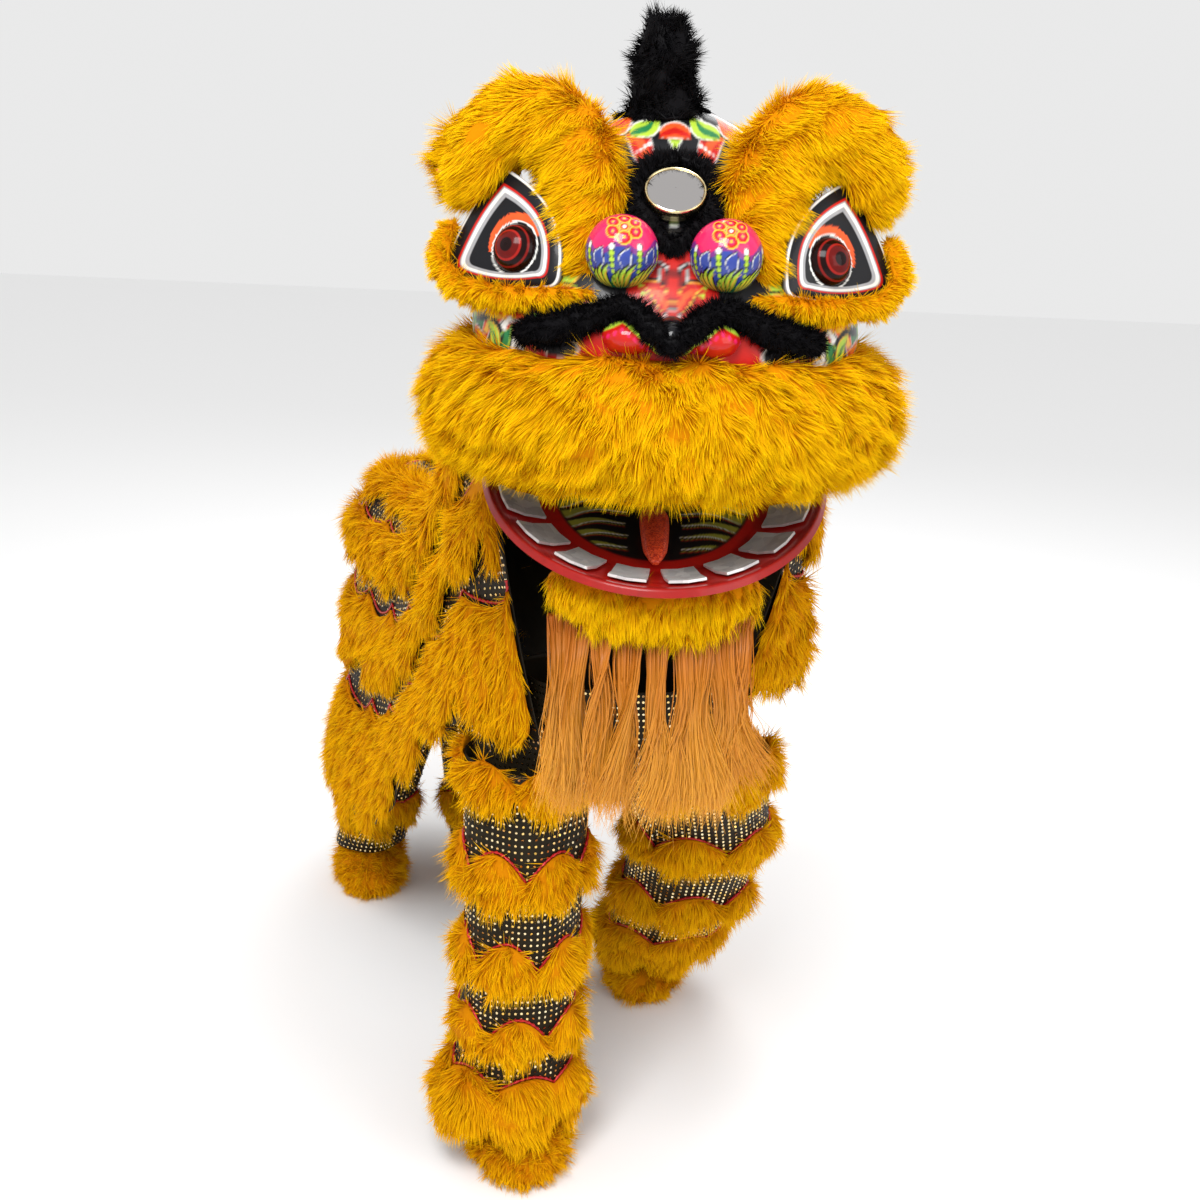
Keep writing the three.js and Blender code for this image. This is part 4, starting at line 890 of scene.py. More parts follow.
def combed_lip(roots):
    """Forward and down, and outwards towards the corners of the mouth."""
    level = np.full(len(roots), 1.0)
    return unit(np.column_stack([roots[:, 0] / 250, -0.3 * level, -0.8 * level]))


def moustache_ends(points, normals):
    """The outer ends fuller by 9 mm and hung 8 mm lower."""
    end = smoothstep(np.abs(points[:, :1]), 80, 150)
    return points + end * (9 * normals + 8 * DOWN)


def ear_slit(side):
    """The red line in an ear's opening: a flattened bead 30 mm long."""
    turn, along = np.meshgrid(turns(16), np.linspace(0.02, 0.98, 14) * np.pi)
    x = side * (328 + 15 * -np.cos(along))
    y = -34 + 3 * np.sin(along) * np.cos(turn)
    z = 1828 + 6 * -np.cos(along) + 4 * np.sin(along) * np.sin(turn)
    return wrapped(np.stack([x, y, z], -1))


def head_fur():
    """The coats of the lip, brows, eye rims, ears, chin, moustache, mirror and horn, and the ears' slits."""
    coat_node("lip_fur", "lip_pile", YELLOW, combed_lip, 15.5, 3, keep=from_head, inset=1,
              length=34, lift=0.55, width=1.9, span=30)
    for side, word in SIDES:
        coat_node(f"brow_fur_{word}", f"brow_pile_{word}", YELLOW, (side * 0.8, 0.2, -0.45), 17.5, 5 + side,
                  inset=-2, length=28, lift=0.5, width=1.8, span=34, clump=0.2, mess=0.11)
        coat_node(f"eye_rim_fur_{word}", f"eye_rim_pile_{word}", YELLOW,
                  away_from(EYE_AT * [side, 1, 1], 0.2), 30.0, 9 + side,
                  inset=2, length=17, lift=0.7, width=1.5, span=16)
        coat_node(f"ear_{word}", f"ear_pile_{word}", YELLOW, (side * 0.9, -0.1, 0.1), 20.0, 15 + side,
                  body=f"ear_{word}", inset=-1, length=32, lift=0.5, width=1.9, span=30, clump=0.25)
    coat_node("chin_fur", "chin_pile", YELLOW, (0, -0.2, -1.1), 24.0, 21, body="jaw",
              keep=lambda middle, normal: normal[:, 2] < 0.7,
              inset=8, length=32, lift=0.35, sag=0.4, width=1.8, span=20)
    coat_node("moustache_fur", "moustache_pile", BLACK, (0, -0.3, 0.1), 26.0, 23, reshape=moustache_ends,
              inset=-3, length=14, lift=0.9, width=1.5, span=12, clump=0.25)
    coat_node("mirror_fur", "mirror_pile", BLACK, away_from(MIRROR_AT, 0.0), 30.0, 25, keep=from_head,
              inset=-1, length=15, lift=0.9, width=1.5, span=12, clump=0.25)
    coat_node("horn", "horn_pile", BLACK, (0, -0.1, 0.4), 20.0, 27,
              inset=7, length=24, lift=0.8, width=1.8, span=20, clump=0.8, mess=0.16)
    for side, word in SIDES:
        make_piece(f"ear_slit_{word}", [(*ear_slit(side), {})], EDGING_RED, body=f"ear_{word}")


SHOES = (("front_right", -184, 169.6), ("front_left", 70, 785.8), ("rear_right", -644, 1214),
         ("rear_left", -350, 1262))
LOBE_REACH = 0.22


def shoe_fur():
    """A coat on each shoe cover, with the front right one drawn out to its right."""
    for index, (word, x, y) in enumerate(SHOES):
        ankle = np.array([x, y, 20])
        away = lambda middle, normal: np.sum((middle - ankle) * normal * [1, 1, 0.6], axis=1) > 8
        drawn_out = lambda points, _: points + [1, 0, 0] * np.minimum(0, LOBE_REACH * (points[:, :1] - x))
        node = "shoe_cover_" + word
        coat_node(node, node + "_pile", SHADED_YELLOW, DOWN * 0.5, 10.0, 61 + index, keep=away,
                  reshape=drawn_out if word == "front_right" else None,
                  inset=4, length=30, lift=0.7, width=2.2, span=24, clump=0.45, mess=0.16, floor=0.5)


BEARD_LOCKS = (
    # top x, tip x, half thickness, reach, tint, swing
    (-134, -130, 15, 290, 0.10, 6),
    (-108, -118, 14, 306, 0.25, -8),
    (-82, -52, 8, 300, 0.60, 10),
    (-66, -92, 5, 262, 0.85, -10),
    (-44, -30, 8, 296, 0.70, 8),
    (-22, -46, 7, 304, 0.30, -9),
    (2, 20, 9, 306, 0.15, 8),
    (20, 2, 6, 280, 0.65, -7),
    (46, 54, 10, 300, 0.35, 9),
    (72, 92, 14, 296, 0.10, -12),
    (100, 124, 16, 276, 0.50, 14),
    (128, 146, 14, 246, 0.90, -12),
    (140, 120, 9, 300, 0.70, 12),
)
BEARD_HAIRS = 4500
BEARD_STEPS = 11


def beard():
    """Long wavy strands in locks: each lock falls from the chin with two sine waves that grow towards its
    tip, and its hairs draw together in its middle and part again, with single hairs astray."""
    rng = np.random.default_rng(33)
    count = int(BEARD_HAIRS * DENSITY) + 100
    table = np.array(BEARD_LOCKS, float)
    lock = rng.choice(len(table), count, p=table[:, 2] / table[:, 2].sum())
    top, low, thick, reach, shade, swing = (column[lock][:, None] for column in table.T)
    own = np.clip(rng.normal(size=(count, 2)), -1.9, 1.9)
    reach = reach - 26 + np.abs(rng.normal(size=(count, 1))) * 26 - 30 * (rng.random((count, 1)) ** 3)
    phase = lock[:, None] * 2.3 + 0.55 * rng.normal(size=(count, 1))
    loose = (rng.random((count, 1)) < 0.1) * 1.0
    t = np.linspace(0, 1, BEARD_STEPS)[None, :]
    grow = t**1.4
    gather = 1 - 0.4 * np.sin(np.pi * t**0.8) * (1 - loose) - 0.1 * t**4
    x = top + (low - top) * t**1.5 + 0.84 * own[:, :1] * thick * gather
    x = x + (8 + 12 * loose) * np.sin(8 * t + phase) * grow + 1.4 * swing * np.sin(4.2 * t) * grow
    x = x + 16 * own[:, 1:] * t**3
    y = -188 - 36 * smoothstep(t, 0.06, 0.3) + 40 * (top / 150) ** 2 + own[:, 1:] * 6 * gather
    y = y + 18 * t + 9 * np.sin(5 * t + phase * 1.3) * grow
    z = 1212 - (reach + 8) * t + 5 * own[:, :1] * (1 - t)
    path = np.stack([x, y, z], -1)
    angle = 0.5 * rng.normal(size=(count, 1, 1))
    half = 0.9 * (1 - 0.85 * t[..., None] ** 3)
    across = np.concatenate([np.cos(angle), np.sin(angle), np.zeros_like(angle)], -1) * half
    points = np.stack([path - across, path + across], 2).reshape(-1, 3)
    start = (2 * BEARD_STEPS * np.arange(count))[:, None, None]
    step = (2 * np.arange(BEARD_STEPS - 1))[None, :, None]
    quads = (start + step + np.array([0, 1, 3, 2])).reshape(-1, 4)
    # tip runs down from the chin, so the beard's top takes its dark root colour: painted shade under the chin
    # fur
    tip = np.repeat(np.tile(t, (count, 1)).reshape(-1), 2)
    mixed = np.clip(0.75 * shade + 0.35 * rng.random((count, 1)) + 0.2 * loose, 0, 1)
    tint = np.repeat(mixed[:, 0], 2 * BEARD_STEPS)
    make_piece("beard_strands", [(points, quads, {"tip": tip, "tint": tint})], BEARD, "jaw", "beard")


# Painting: colours worked out from a place on a surface


def motif(a, b, at, length, width, angle, bend):
    """How deep a place lies in a leaf: 0 on its bent midrib, 1 at its edge, above 1 outside."""
    turn = np.radians(angle)
    u, v = a - at[0], b - at[1]
    along = (u * np.cos(turn) + v * np.sin(turn)) / length
    off = -u * np.sin(turn) + v * np.cos(turn) - bend * length * np.sin(np.pi * np.clip(along, 0, 1)) * along
    half = width / 2 * np.sin(np.pi * np.clip(along, 0, 1) ** 0.8)
    inside = (along > 0) & (along < 1)
    return np.where(inside, np.abs(off) / np.maximum(half, 0.4), 99.0)


def paint_leaf(paint, a, b, at, length, width, angle, fill, bend, core, line, edge=3.0):
    """A leaf painted as a black outline, a thin light line, its fill, and a core along its midrib."""
    layers = (
        (1.06, width + 2 * edge, "black"),
        (1, width + edge * 0.6, line),
        (0.97, width - edge * 0.7, fill),
        (0.8, width * 0.36, core),
    )
    for share, wide, colour in layers:
        if colour:
            paint[motif(a, b, at, length * share, wide, angle, bend) < 1] = PAINT[colour]


def paint_dots(paint, a, b, start, step, count, radius, colour, shrink=0.0):
    """A row of dots, each smaller than the one before it."""
    for k in range(count):
        away = np.hypot(a - start[0] - step[0] * k, b - start[1] - step[1] * k)
        paint[away < radius * (1 - shrink * k)] = PAINT[colour]


def averaged(painter, a, b, cell):
    """The painter's colours, averaged over five places of a cell round each point, for soft edges."""
    places = ((0, 0), (-0.35, -0.35), (0.35, -0.35), (-0.35, 0.35), (0.35, 0.35))
    return {"paint": sum(painter(a + cell * u, b + cell * v) for u, v in places) / len(places)}


SHELL_SECTIONS = [
    # z, half width, front, back
    (1490, 243, -222, 236),
    (1560, 272, -246, 246),
    (1620, 288, -252, 250),
    (1680, 276, -228, 248),
    (1740, 250, -186, 238),
    (1800, 214, -134, 212),
    (1865, 158, -70, 168),
    (1915, 88, -2, 118),
    (1940, 12, 44, 68),
]
SHELL_THICK = 3.0
BARE_PAPER = (0.25, 0.16, 0.08)
CHEEK_LEAVES = (
    # place as out and height, length, width, angle, fill, bend, core, line
    ((412, 1588), 116, 40, 104, "lime", 0.25, "green", "white"),
    ((384, 1668), 104, 42, 200, "green", 0.3, "black", "lime"),
    ((352, 1714), 150, 28, 192, "red", 0.3, "orange", "white"),
    ((252, 1688), 136, 32, 166, "lime", 0.22, "green", "yellow"),
    ((318, 1606), 104, 34, 156, "orange", -0.3, "yellow", "white"),
    ((400, 1634), 170, 8, 196, "black", -0.35, None, "black"),
    ((244, 1652), 96, 24, 186, "orange", -0.25, "red", "lime"),
    ((346, 1590), 84, 26, 62, "green", 0.3, "lime", "black"),
    ((212, 1650), 112, 24, 176, "lime", 0.2, "green", "yellow"),
    ((246, 1630), 70, 20, 160, "red", 0.3, "orange", "white"),
    ((196, 1676), 90, 22, 184, "orange", -0.25, "red", "lime"),
    ((196, 1590), 44, 20, 60, "orange", 0.35, "red", "yellow"),
    ((306, 1596), 84, 32, 150, "green", 0.3, "black", "lime"),
    ((264, 1584), 62, 24, 58, "lime", 0.3, "green", "yellow"),
    ((356, 1616), 70, 24, 176, "red", 0.3, "orange", "white"),
)
BRIDGE_LEAVES = (
    # as above, with the width of the outline
    ((2, 1668), 60, 22, 36, "red", 0.3, "orange", "yellow", 3.0),
    ((10, 1700), 34, 15, 68, "black", 0.2, "red", "white", 2.6),
    ((0, 1640), 36, 26, 90, "red", 0.0, "yellow", "white", 3.0),
)
CROWN_RINGS = (
    # spacing, height, length, width, angle, bend, fills
    (92, 1748, 116, 50, 40, 0.3, ("lime", "orange")),
    (74, 1800, 100, 44, 140, 0.3, ("orange", "lime")),
    (62, 1848, 86, 36, 40, 0.35, ("lime", "red")),
    (44, 1892, 60, 26, 140, 0.3, ("orange", "lime")),
)
CORES = {"lime": "green", "orange": "red", "red": "orange"}


def shell_point(turn, height, grow=0.0):
    """A squarish oval section at a height read from the table, with turn from 0 at the front."""
    z, half, front, back = np.moveaxis(read_rows(SHELL_SECTIONS, height), -1, 0)
    power = 2 / 2.4
    waves = np.sin(TAU * turn), np.cos(TAU * turn)
    sine, cosine = (np.sign(wave) * np.abs(wave) ** power for wave in waves)
    x = (half + grow) * sine
    y = (front + back) / 2 - ((back - front) / 2 + grow) * cosine
    return np.stack([x, y, z], -1)


def shell_paint(a, z):
    """Flames round the crown, leaves and scrolls on the cheeks, and a red bridge and nose wings, by the
    distance round the head from its front and the height."""
    out = np.abs(a)
    paint = np.tile(PAINT["white"], (len(a), 1))
    paint[(z > 1636) & (out < 236 + 8 * np.sin(z / 8))] = PAINT["black"]
    paint[(z < 1646 + 6 * np.cos(out / 14)) & (out < 206 + 8 * np.sin(z / 9))] = PAINT["red"]
    far = out > 455
    local = out - 120 * np.round(out / 120)
    layer = paint.copy()
    paint_leaf(layer, local, z, (-44, 1600), 128, 48, 58, "lime", 0.25, "green", "white", 4.0)
    paint_leaf(layer, local, z, (50, 1590), 110, 40, 104, "orange", -0.25, "yellow", "white", 4.0)
    paint[far] = layer[far]
    for leaf in CHEEK_LEAVES:
        paint_leaf(paint, out, z, *leaf, 3.4)
    paint_dots(paint, out, z, (362, 1660), (-12, -4), 5, 3.4, "white", 0.12)
    paint[(out < 62) & (z < 1770)] = PAINT["red"]
    paint[np.hypot((out - 152) / 27, (z - 1614) / 17) < 1] = PAINT["white"]
    paint[np.hypot((out - 152) / 24, (z - 1613) / 15) < 1] = PAINT["black"]
    for leaf in BRIDGE_LEAVES:
        paint_leaf(paint, out, z, *leaf)
    paint_dots(paint, out, z, (40, 1690), (4, 10), 4, 3.2, "lime", 0.1)
    paint[z > 1748] = PAINT["black"]
    crown = paint.copy()
    for spacing, height, length, width, angle, bend, fills in CROWN_RINGS:
        cell = np.round(out / spacing)
        local = out - spacing * cell
        start = (-length / 2 * np.cos(np.radians(angle)), height)
        for odd, fill in enumerate(fills):
            layer = crown.copy()
            paint_leaf(layer, local, z, start, length, width, angle, fill, bend, CORES[fill], "white")
            chosen = cell % 2 == odd
            crown[chosen] = layer[chosen]
        paint_dots(crown, local, z, (-0.4 * spacing, height + 34), (6, -4), 4, 3.0, "white", 0.15)
    paint[z > 1744] = crown[z > 1744]
    return paint


def shell_grid(turn, v, grow=0.0):
    """The shell from its rim to its crown, with the rim raised behind."""
    rim = 0.3 * smoothstep(-np.cos(TAU * turn), 0.1, 0.9)
    return shell_point(turn + 0 * v, rim + (1 - rim) * v, grow)


def head_shell():
    """The shell as a smooth wall with its painting, finest over the face, and the ear yokes on it."""
    face = np.linspace(-0.19, 0.19, 196)
    turn = np.concatenate([face, np.linspace(0.19, 0.81, 91)[1:-1]])
    v = np.concatenate([np.linspace(0, 0.22, 12)[:-1], np.linspace(0.22, 0.999, 124)])[:, None]
    outer = shell_grid(turn, v)
    step = np.linalg.norm(np.roll(outer, -1, 1) - outer, axis=-1)
    run = np.concatenate([np.zeros((len(v), 1)), np.cumsum(step, 1)[:, :-1]], 1)
    whole = step.sum(1)[:, None]
    half = len(face) // 2
    middle = run[:, half - 1 : half + 1].sum(1, keepdims=True) / 2
    arc = (run - middle + whole / 2) % whole - whole / 2
    points, faces = wrapped(outer)
    paint = averaged(shell_paint, arc.reshape(-1), points[:, 2], 2.6)
    inner = shell_grid(np.arange(120) / 120, np.linspace(0, 0.999, 40)[:, None], -SHELL_THICK)
    lining, inside = wrapped(inner)
    parts = [(points, faces, paint), (lining, inside[:, ::-1], painted(lining, BARE_PAPER))]
    make_piece("painted_head", parts, (LACQUER, "painted_shell"), replaces="head_shell")
    parts = []
    for side, _ in SIDES:
        for y in (51, 73):
            parts.append(block((side * 190, y, 1801), (side * 241, y, 1801), 4, 18))
        parts.append(rod((side * 232, 51, 1801), (side * 232, 73, 1801), 4, 16))
    make_piece("ear_yokes", [(p, f, painted(p, "black")) for p, f in parts], (LACQUER, "painted_shell"))


def block(start, end, thick, tall):
    """A bar of rectangular section between two points along X."""
    corners = np.array([[-1, -1], [1, -1], [1, 1], [-1, 1]]) * [thick / 2, tall / 2]
    points = np.vstack([np.column_stack([np.full(4, x), [y, z] + corners]) for x, y, z in (start, end)])
    faces = np.vstack([grid_quads(2, 4, wrap_columns=True), [[3, 2, 1, 0], [4, 5, 6, 7]]])
    return points, outward(points, faces)


def rod(start, end, radius, sides):
    """A round bar with closed ends, as rings that shrink to its axis."""
    start, end = np.array(start, float), np.array(end, float)
    way = unit(end - start)
    side = unit(np.cross(way, [0.3, 0.5, 1.0]))
    ring = circle(turns(sides), side, np.cross(way, side))
    profile = [(0, 0.02), (0, 0.85), (0.03, 1), (0.97, 1), (1, 0.85), (1, 0.02)]
    return wrapped(np.stack([start + (end - start) * t + ring * radius * r for t, r in profile]))


EYE_OUTLINE = (
    # corner out and up, then the bend towards the next corner
    (-74, -60, -94, -60),
    (-92, -40, -88, 58),
    (38, 102, 82, 50),
    (106, -36, 112, -58),
    (88, -62, 6, -78),
)
EYE_TURN, EYE_TIP = 32, 17
EYE_DOME = 7
EYE_DEEP = 95
EYE_BANDS = (
    # from this share of the way out, colour
    (0.00, "black"), (0.60, "grey"), (0.655, "white"), (0.72, "grey"), (0.745, "red"),
    (0.775, "black"), (0.955, "white"), (0.985, "grey"),
)
BALL_RADIUS, BALL_OUT, BALL_UP, BALL_SUNK = 37.0, -14.0, -12.0, 7.0
IRIS_DARK = (0.012, 0.004, 0.004)
IRIS_RINGS = (
    # from this angle, colour
    (14, (0.12, 0.006, 0.005)),
    (30, (0.34, 0.014, 0.010)),
    (35, (0.010, 0.002, 0.002)),
    (48, (0.22, 0.010, 0.008)),
    (53, (0.008, 0.002, 0.002)),
)


def eye_frame(side):
    """The eye's middle, and its ways out, up and forward: tipped back, then turned to its side."""
    turn, tip = side * np.radians(EYE_TURN), -np.radians(EYE_TIP)
    spin = np.array([[np.cos(turn), -np.sin(turn), 0], [np.sin(turn), np.cos(turn), 0], [0, 0, 1]])
    lean = np.array([[1, 0, 0], [0, np.cos(tip), -np.sin(tip)], [0, np.sin(tip), np.cos(tip)]])
    both = spin @ lean
    return EYE_AT * [side, 1, 1], both @ [side, 0, 0], both @ [0, 0, 1], both @ [0, -1, 0]


def eye_outline(steps=24):
    """The teardrop: five quadratic curves, each from one corner to the next."""
    corners = np.array(EYE_OUTLINE, float)
    t = (np.arange(steps) / steps)[:, None]
    ends = zip(corners[:, :2], corners[:, 2:], np.roll(corners, -1, 0)[:, :2])
    return np.vstack([(1 - t) ** 2 * a + 2 * t * (1 - t) * bend + t**2 * b for a, bend, b in ends])


def eye_panel(outline, middle, out, up, face):
    """A low dome inside the teardrop with its nested bands, and a wall that narrows backwards."""
    focus = np.array([BALL_OUT, BALL_UP])
    share = np.linspace(0.02, 1, 52)[:, None, None]
    flat = focus + (outline[None] - focus) * share
    depth = EYE_DOME * (1 - share**6)
    front = middle + flat[..., :1] * out + flat[..., 1:] * up + depth * face
    back = np.linspace(0, 1, 12)[:, None, None]
    drawn_in = outline[None] * (1 - 0.22 * back)
    wall = middle + drawn_in[..., :1] * out + drawn_in[..., 1:] * up - EYE_DEEP * back * face
    points, faces = wrapped(np.concatenate([front, wall[1:]]))
    paint = np.tile(PAINT["black"], (len(points), 1))
    s = np.broadcast_to(share[..., 0], flat.shape[:2]).reshape(-1)
    panel = paint[: len(s)]
    for low, colour in EYE_BANDS:
        panel[s > low] = PAINT[colour]
    across = flat.reshape(-1, 2) - focus
    far = np.hypot(*across.T)
    crescent = (0.35 * across[:, 0] + 0.94 * across[:, 1]) / np.maximum(far, 1)
    round_ball = (s < 0.60) & (far > 36)
    panel[round_ball & (far < 41 + 9 * crescent) & (crescent > 0.15)] = PAINT["orange"]
    panel[round_ball & (far < 38.5)] = PAINT["white"]
    return points, faces, {"paint": paint}


def eyeball(middle, out, up, face):
    """A cap of a ball, 112 degrees from its middle to its rim, with its iris in rings."""
    centre = middle + BALL_OUT * out + BALL_UP * up - BALL_SUNK * face
    polar = np.linspace(0.01, 1, 44)[:, None] * np.pi * 0.62
    turn = turns(64)
    across, rise = (np.sin(polar) * wave(turn) for wave in (np.cos, np.sin))
    away = np.cos(polar)[..., None] * face + across[..., None] * out + rise[..., None] * up
    points, faces = wrapped(centre + BALL_RADIUS * away)
    angle = np.repeat(np.degrees(polar[:, 0]), len(turn))
    paint = np.tile(IRIS_DARK, (len(points), 1))
    for low, colour in IRIS_RINGS:
        paint[angle >= low] = colour
    return points, faces, {"paint": paint}


def eyes():
    """Nested teardrop bands round each glossy eyeball."""
    outline = eye_outline()
    for side, word in SIDES:
        place = eye_frame(side)
        make_piece(f"eye_panel_{word}_bands", [eye_panel(outline, *place)], (LACQUER, "eye_panel"),
                   replaces=f"eye_panel_{word}")
        make_piece(f"eyeball_{word}_gloss", [eyeball(*place)], (EYE_GLOSS, "eyeball"),
                   replaces=f"eyeball_{word}")


def ball_paint(lon, lat):
    """By longitude from the front and latitude: a flower on pink above, grass and dots on blue below."""
    paint = np.tile(PAINT["blue"], (len(lon), 1))
    wave = 14 + 8 * np.cos(np.radians(lon * 5 + 20))
    paint[lat > wave - 9] = PAINT["purple"]
    paint[lat > wave] = PAINT["pink"]
    paint[lat < -46] = PAINT["green"]
    cell = (lon + 22) % 45 - 22
    paint_leaf(paint, cell, lat, (4, -22), 34, 20, 76, "blue", 0.2, "blue", "white", 2.4)
    for start, angle, length in ((-12, 92, 34), (-5, 86, 44), (3, 80, 52), (11, 74, 56)):
        paint_leaf(paint, cell, lat, (start, -66), length, 11, angle, "lime", 0.25, "yellow", "black", 2.0)
    down = (0.8, -9.6)
    paint_dots(paint, cell, lat, (-18, 12), down, 7, 6.4, "black", 0.09)
    paint_dots(paint, cell, lat, (-18, 12), down, 7, 4.8, "white", 0.09)
    paint_dots(paint, cell, lat, (-17.2, 2.4), down, 6, 4.4, "lime", 0.09)
    a, b = (lon - 2) * np.cos(np.radians(lat)), lat - 46
    for petal in range(6):
        spin = np.radians(60 * petal + 90)
        away = np.hypot(a - 21 * np.cos(spin), b - 19 * np.sin(spin))
        for size, colour in ((12.0, "yellow"), (9.6, "red"), (5.4, "pink"), (2.6, "yellow")):
            paint[away < size] = PAINT[colour]
    for size, colour in ((8, "yellow"), (6.4, "red"), (3, "white")):
        paint[np.hypot(a, b) < size] = PAINT[colour]
    return paint


def balls():
    """Forehead balls: pink above with a flower, blue below with lime strokes and rows of dots."""
    polar = np.linspace(0.006, 0.995, 72)[:, None] * np.pi
    turn = turns(132)
    ring = [np.sin(polar) * np.sin(turn), -np.sin(polar) * np.cos(turn), np.cos(polar) + 0 * turn]
    ring = np.stack(ring, -1)
    lon = np.degrees(np.arctan2(ring[..., 0], -ring[..., 1])).reshape(-1)
    lat = np.degrees(np.arcsin(np.clip(ring[..., 2], -1, 1))).reshape(-1)
    paint = averaged(ball_paint, lon, lat, 1.6)
    for side, word in SIDES:
        x = side * 71.0
        points, faces = wrapped(np.array([x, -200.0, 1742.0]) + 50 * ring)
        post, post_faces = rod((x, -160, 1742), (x, -112, 1742), 5, 20)
        parts = [(points, faces, paint), (post, post_faces, painted(post, "red"))]
        make_piece(f"forehead_ball_{word}_painted", parts, (GLOSS, "forehead_ball"),
                   replaces=f"forehead_ball_{word}")


def mirror():
    """A domed silvered disc in a thin gold rim, as profiles of radius and height."""
    tilt = np.radians(42)
    face = np.array([0.0, -np.sin(tilt), np.cos(tilt)])
    side = np.array([1.0, 0.0, 0.0])
    dome = [(41 * s, 6 + 4.5 * (1 - s * s)) for s in np.linspace(0.1, 1, 16)]
    glass = [(0.4, 10.5), *dome, (41, 2), (38, -12), (0.4, -12)]
    rim = [(40.2, 6.5), (41.4, 8.2), (43, 7.6), (43.4, 3), (43.4, -10), (40.2, -10), (40.2, 6.5)]
    for name, material, colour, rough, profile, node in (
        ("mirror_glass", "silvered_glass", (0.50, 0.48, 0.47), 0.04, glass, "forehead_mirror"),
        ("mirror_rim", "gold_rim", (0.80, 0.66, 0.36), 0.25, rim, None),
    ):
        radius, height = np.array(profile, float).T[..., None, None]
        grid = MIRROR_AT + radius * circle(turns(96)[None], side, np.cross(face, side)) + height * face
        metal = make_material(material, {"Base Color": colour, "Roughness": rough, "Metallic": 1.0})
        make_piece(name, [(*wrapped(grid), {})], (metal, "mirror"), replaces=node)


def nose_paint(side, z):
    """Red, with a green line and pink dots in a dark band below the moustache."""
    line = np.interp(side, [0, 8, 30, 66, 100], [1618, 1624, 1652, 1680, 1662])
    below = (line - z) * 0.75
    paint = np.tile(PAINT["red"], (len(z), 1))
    paint[below < 19] = PAINT["black"]
    paint[(below > 14.5) & (below < 19)] = PAINT["lime"]
    paint[np.hypot(np.mod(side, 9.0) - 4.5, below - 25) < 2.5] = PAINT["pink"]
    return paint


def nose():
    """The nose's own lobes, smoothed and painted."""
    points, triangles = smoothed("nose")
    paint = averaged(nose_paint, np.abs(points[:, 0]), points[:, 2], 1.6)
    make_piece("nose_lacquered", [(points, triangles, paint)], (GLOSS, "nose_lacquer"), replaces="nose")


# Jaw

JAW_HINGE = np.array([0.0, 50.0, 1380.0])
JAW_DROP = np.radians(17)
JAW_HALF = 262.0
JAW_BACK = 24.0
JAW_LONG = 344.0
# Share of the way out, and height
JAW_PROFILE = np.array([(0, -45), (0.7, -45), (0.86, -26), (1, -1), (1.03, 3), (1.055, -7)])


def jaw_place(points):
    """From the level jaw's own place, turned down about its hinge."""
    c, s = np.cos(JAW_DROP), np.sin(JAW_DROP)
    x, y, z = np.moveaxis(points, -1, 0)
    return np.stack([x, c * y - s * z, s * y + c * z], -1) + JAW_HINGE


def tray_point(steps, out, grow=0.0):
    """The level tray from side to side and a share of the way out, its height on the profile."""
    turn = np.linspace(-np.pi / 2, np.pi / 2, steps)
    z = np.interp(out, *JAW_PROFILE.T) + grow
    x = JAW_HALF * out * np.sin(turn)
    return np.stack([x, JAW_BACK - JAW_LONG * out * np.cos(turn), z + 0 * x], -1)


def tray_paint(x, y):
    """By the level tray's own place: black waves on olive green each side of the tongue, in a red rim whose
    outer edge is a deeper red, as painted shade.
    """
    spread = np.abs(x)
    out = np.hypot(x / JAW_HALF, (y - JAW_BACK) / JAW_LONG)
    paint = np.tile(PAINT["olive"], (len(x), 1))
    phase = (y + 9 * np.sin(spread / 20.0) + 0.16 * spread) / 34.0
    wave = np.abs((phase % 1) - 0.5) * 2
    fade = np.clip((spread - 40) / 118, 0, 1)
    edge = 0.96 - 0.8 * fade**1.3
    side = (phase % 1) > 0.5
    for where, colour in (
        (wave < edge, "black"),
        ((np.abs(wave - edge) < 0.07) & (fade < 0.9) & side, "white"),
        ((np.abs(wave - 0.4 * edge) < 0.07) & (fade < 0.85) & side, "deep_red"),
        ((np.abs(wave - 0.62 * edge) < 0.05) & (fade < 0.8) & side, "olive"),
        (spread < 42 + 3 * np.sin(y / 8), "black"),
        (out > 0.60, "black"),
        (out > 0.612, "red"),
        # the outer rim a deeper red: painted shade
        (out > 0.985, "deep_red"),
    ):
        paint[where] = PAINT[colour]
    return paint


def hinge_lug(side):
    """A plate with a round top beside the hinge, closed to the middle of each face."""
    angle = np.linspace(0, np.pi, 20)
    outline = np.vstack([15 * np.column_stack([np.cos(angle), np.sin(angle)]), [[-15, -27], [15, -27]]])
    inner, outer = (np.column_stack([np.full(len(outline), side * x), outline]) for x in (243, 249))
    to_middle = [1, 0.02, 0.02]
    return wrapped(jaw_place(np.stack([inner * to_middle, inner, outer, outer * to_middle])))


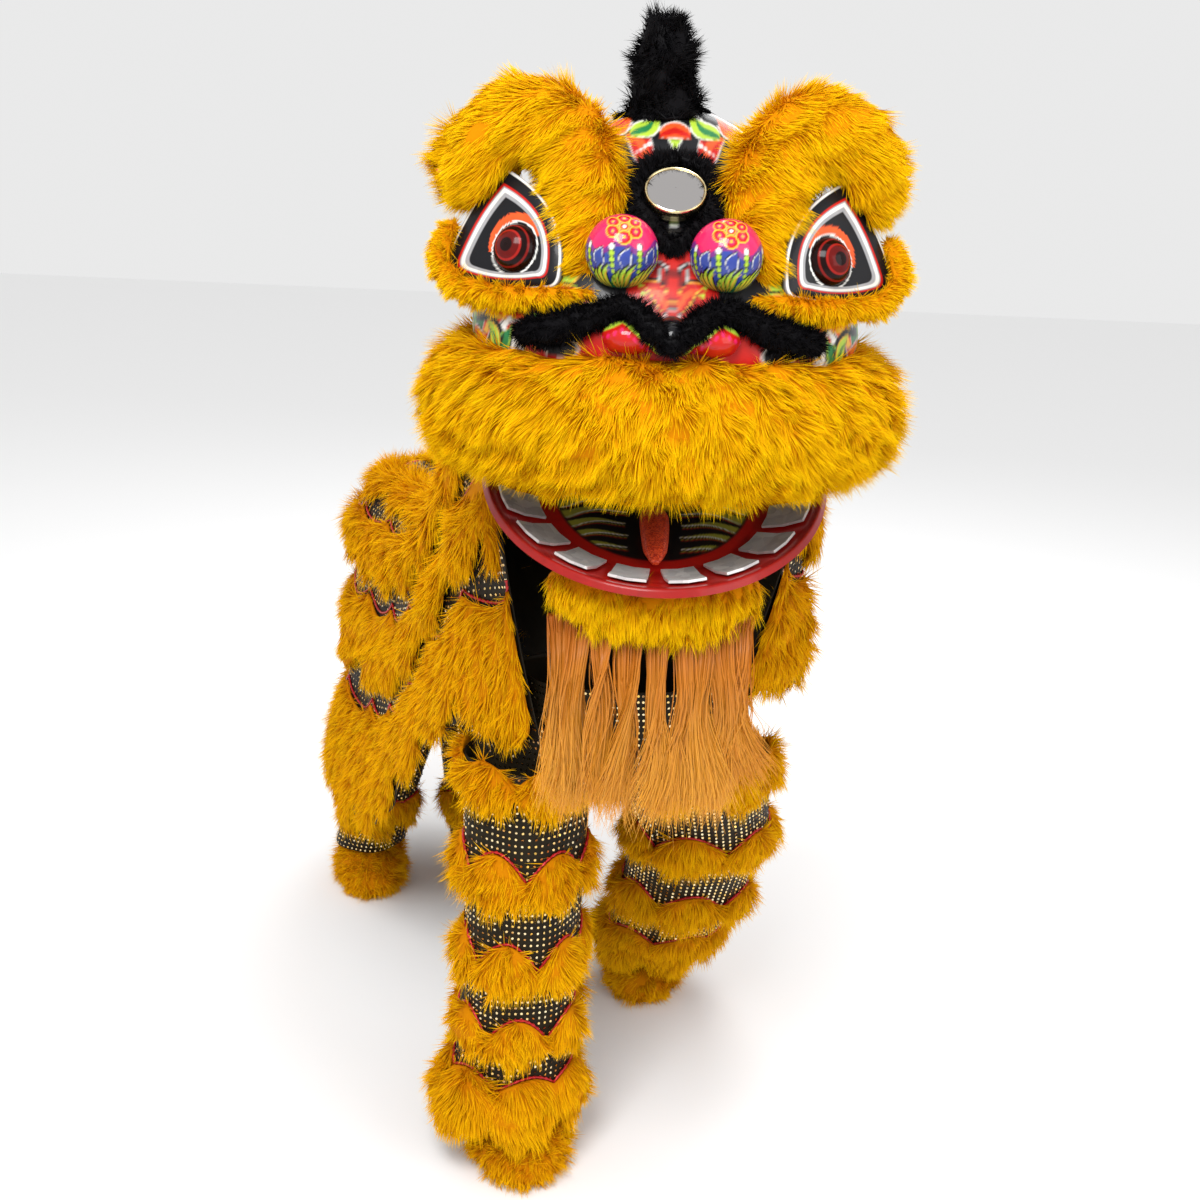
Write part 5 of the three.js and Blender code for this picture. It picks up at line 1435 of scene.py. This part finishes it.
def jaw():
    """The tray's painted face, its underside, its two lugs, the teeth and the tongue."""
    shares = [np.linspace(0.004, 0.64, 68), np.linspace(0.66, 1, 12), np.linspace(1.008, 1.055, 7)]
    level = tray_point(190, np.concatenate(shares)[:, None])
    paint = averaged(tray_paint, *level.reshape(-1, 3)[:, :2].T, 2.0)
    parts = [(*facing(jaw_place(level), 1), paint)]
    # the underside, in a deeper red: painted shade under the jaw
    under = tray_point(80, np.append(np.linspace(0.004, 1, 20), (1.03, 1.05))[:, None], -3.0)
    points, faces = facing(jaw_place(under), -1)
    parts.append((points, faces, painted(points, "deep_red")))
    for side, _ in SIDES:
        points, faces = hinge_lug(side)
        parts.append((points, faces, painted(points, "red")))
    make_piece("jaw_tray_painted", parts, (LACQUER, "jaw_tray"), "jaw", "jaw_tray")
    for number in range(1, 9):
        NODES[f"tooth_{number}"].material_slots[0].material = SILVER_FOIL
    make_piece("tongue_glittered", [(*smoothed("tongue", 0.25), {})], TONGUE_RED, "jaw", "tongue")


# Studio

LIGHTS = (
    # name, place, looks at, size, power
    ("key_light", (-0.9, -2.7, 3.1), (0, 0, -0.1), 1.8, 175),
    ("fill_light", (2.8, -2.2, 1.2), (0, 0.3, -0.4), 2.5, 40),
    ("back_light", (0.5, 3.6, 2.6), (0, 0.4, -0.3), 2.5, 70),
)
CAMERA_AT = (-0.0979, -2.2768, 0.400)
CAMERA_TURNS = ((-0.5, "Z"), (72, "X"), (2.5, "Z"))


def place_object(name, data, place, turned):
    holder = bpy.data.objects.new(name, data)
    bpy.context.scene.collection.objects.link(holder)
    turned.translation = place
    holder.matrix_world = turned
    return holder


def studio():
    """A pale floor, soft light from the front and above, and the photograph's camera."""
    scene = bpy.context.scene
    bpy.ops.mesh.primitive_plane_add(size=30, location=(0, 0, -GRIP_AT[2] / 1000))
    floor = bpy.context.object
    floor.name = "studio_floor"
    pale = {"Base Color": (0.93, 0.93, 0.93), "Roughness": 0.9}
    floor.data.materials.append(make_material("pale_floor", pale))
    world = bpy.data.worlds.new("studio_world")
    scene.world = world
    world.use_nodes = True
    background = {"Color": (1.0, 1.0, 1.0), "Strength": 0.82}
    feed(world.node_tree, world.node_tree.nodes["Background"], background)
    for name, place, looks, size, power in LIGHTS:
        lamp = bpy.data.lights.new(name, "AREA")
        lamp.size, lamp.energy = size, power
        back = unit(np.subtract(place, looks))
        side = unit(np.cross([0, 0, 1], back))
        axes = Matrix(np.column_stack([side, np.cross(back, side), back]).tolist())
        place_object(name, lamp, place, axes.to_4x4())
    camera = bpy.data.cameras.new("photo_camera")
    camera.lens = 43.5
    camera.sensor_width = 36
    spin = Matrix.Identity(4)
    for degrees, axis in CAMERA_TURNS:
        spin = spin @ Matrix.Rotation(np.radians(degrees), 4, axis)
    scene.camera = place_object("photo_camera", camera, CAMERA_AT, spin)
    scene.view_settings.view_transform = "Standard"


studio()
head_shell()
eyes()
balls()
mirror()
nose()
head_fur()
jaw()
beard()
NODES["head_frame"].material_slots[0].material = make_material("bare_cane", cane)
blanket()
garment("front", (FRONT_LEFT_LEG, FRONT_RIGHT_LEG), FRONT_WAIST,
        seed=45, sequins_to=960)
garment("rear", (REAR_LEFT_LEG, REAR_RIGHT_LEG), REAR_WAIST,
        seed=44, sequins_to=560)
shoe_fur()
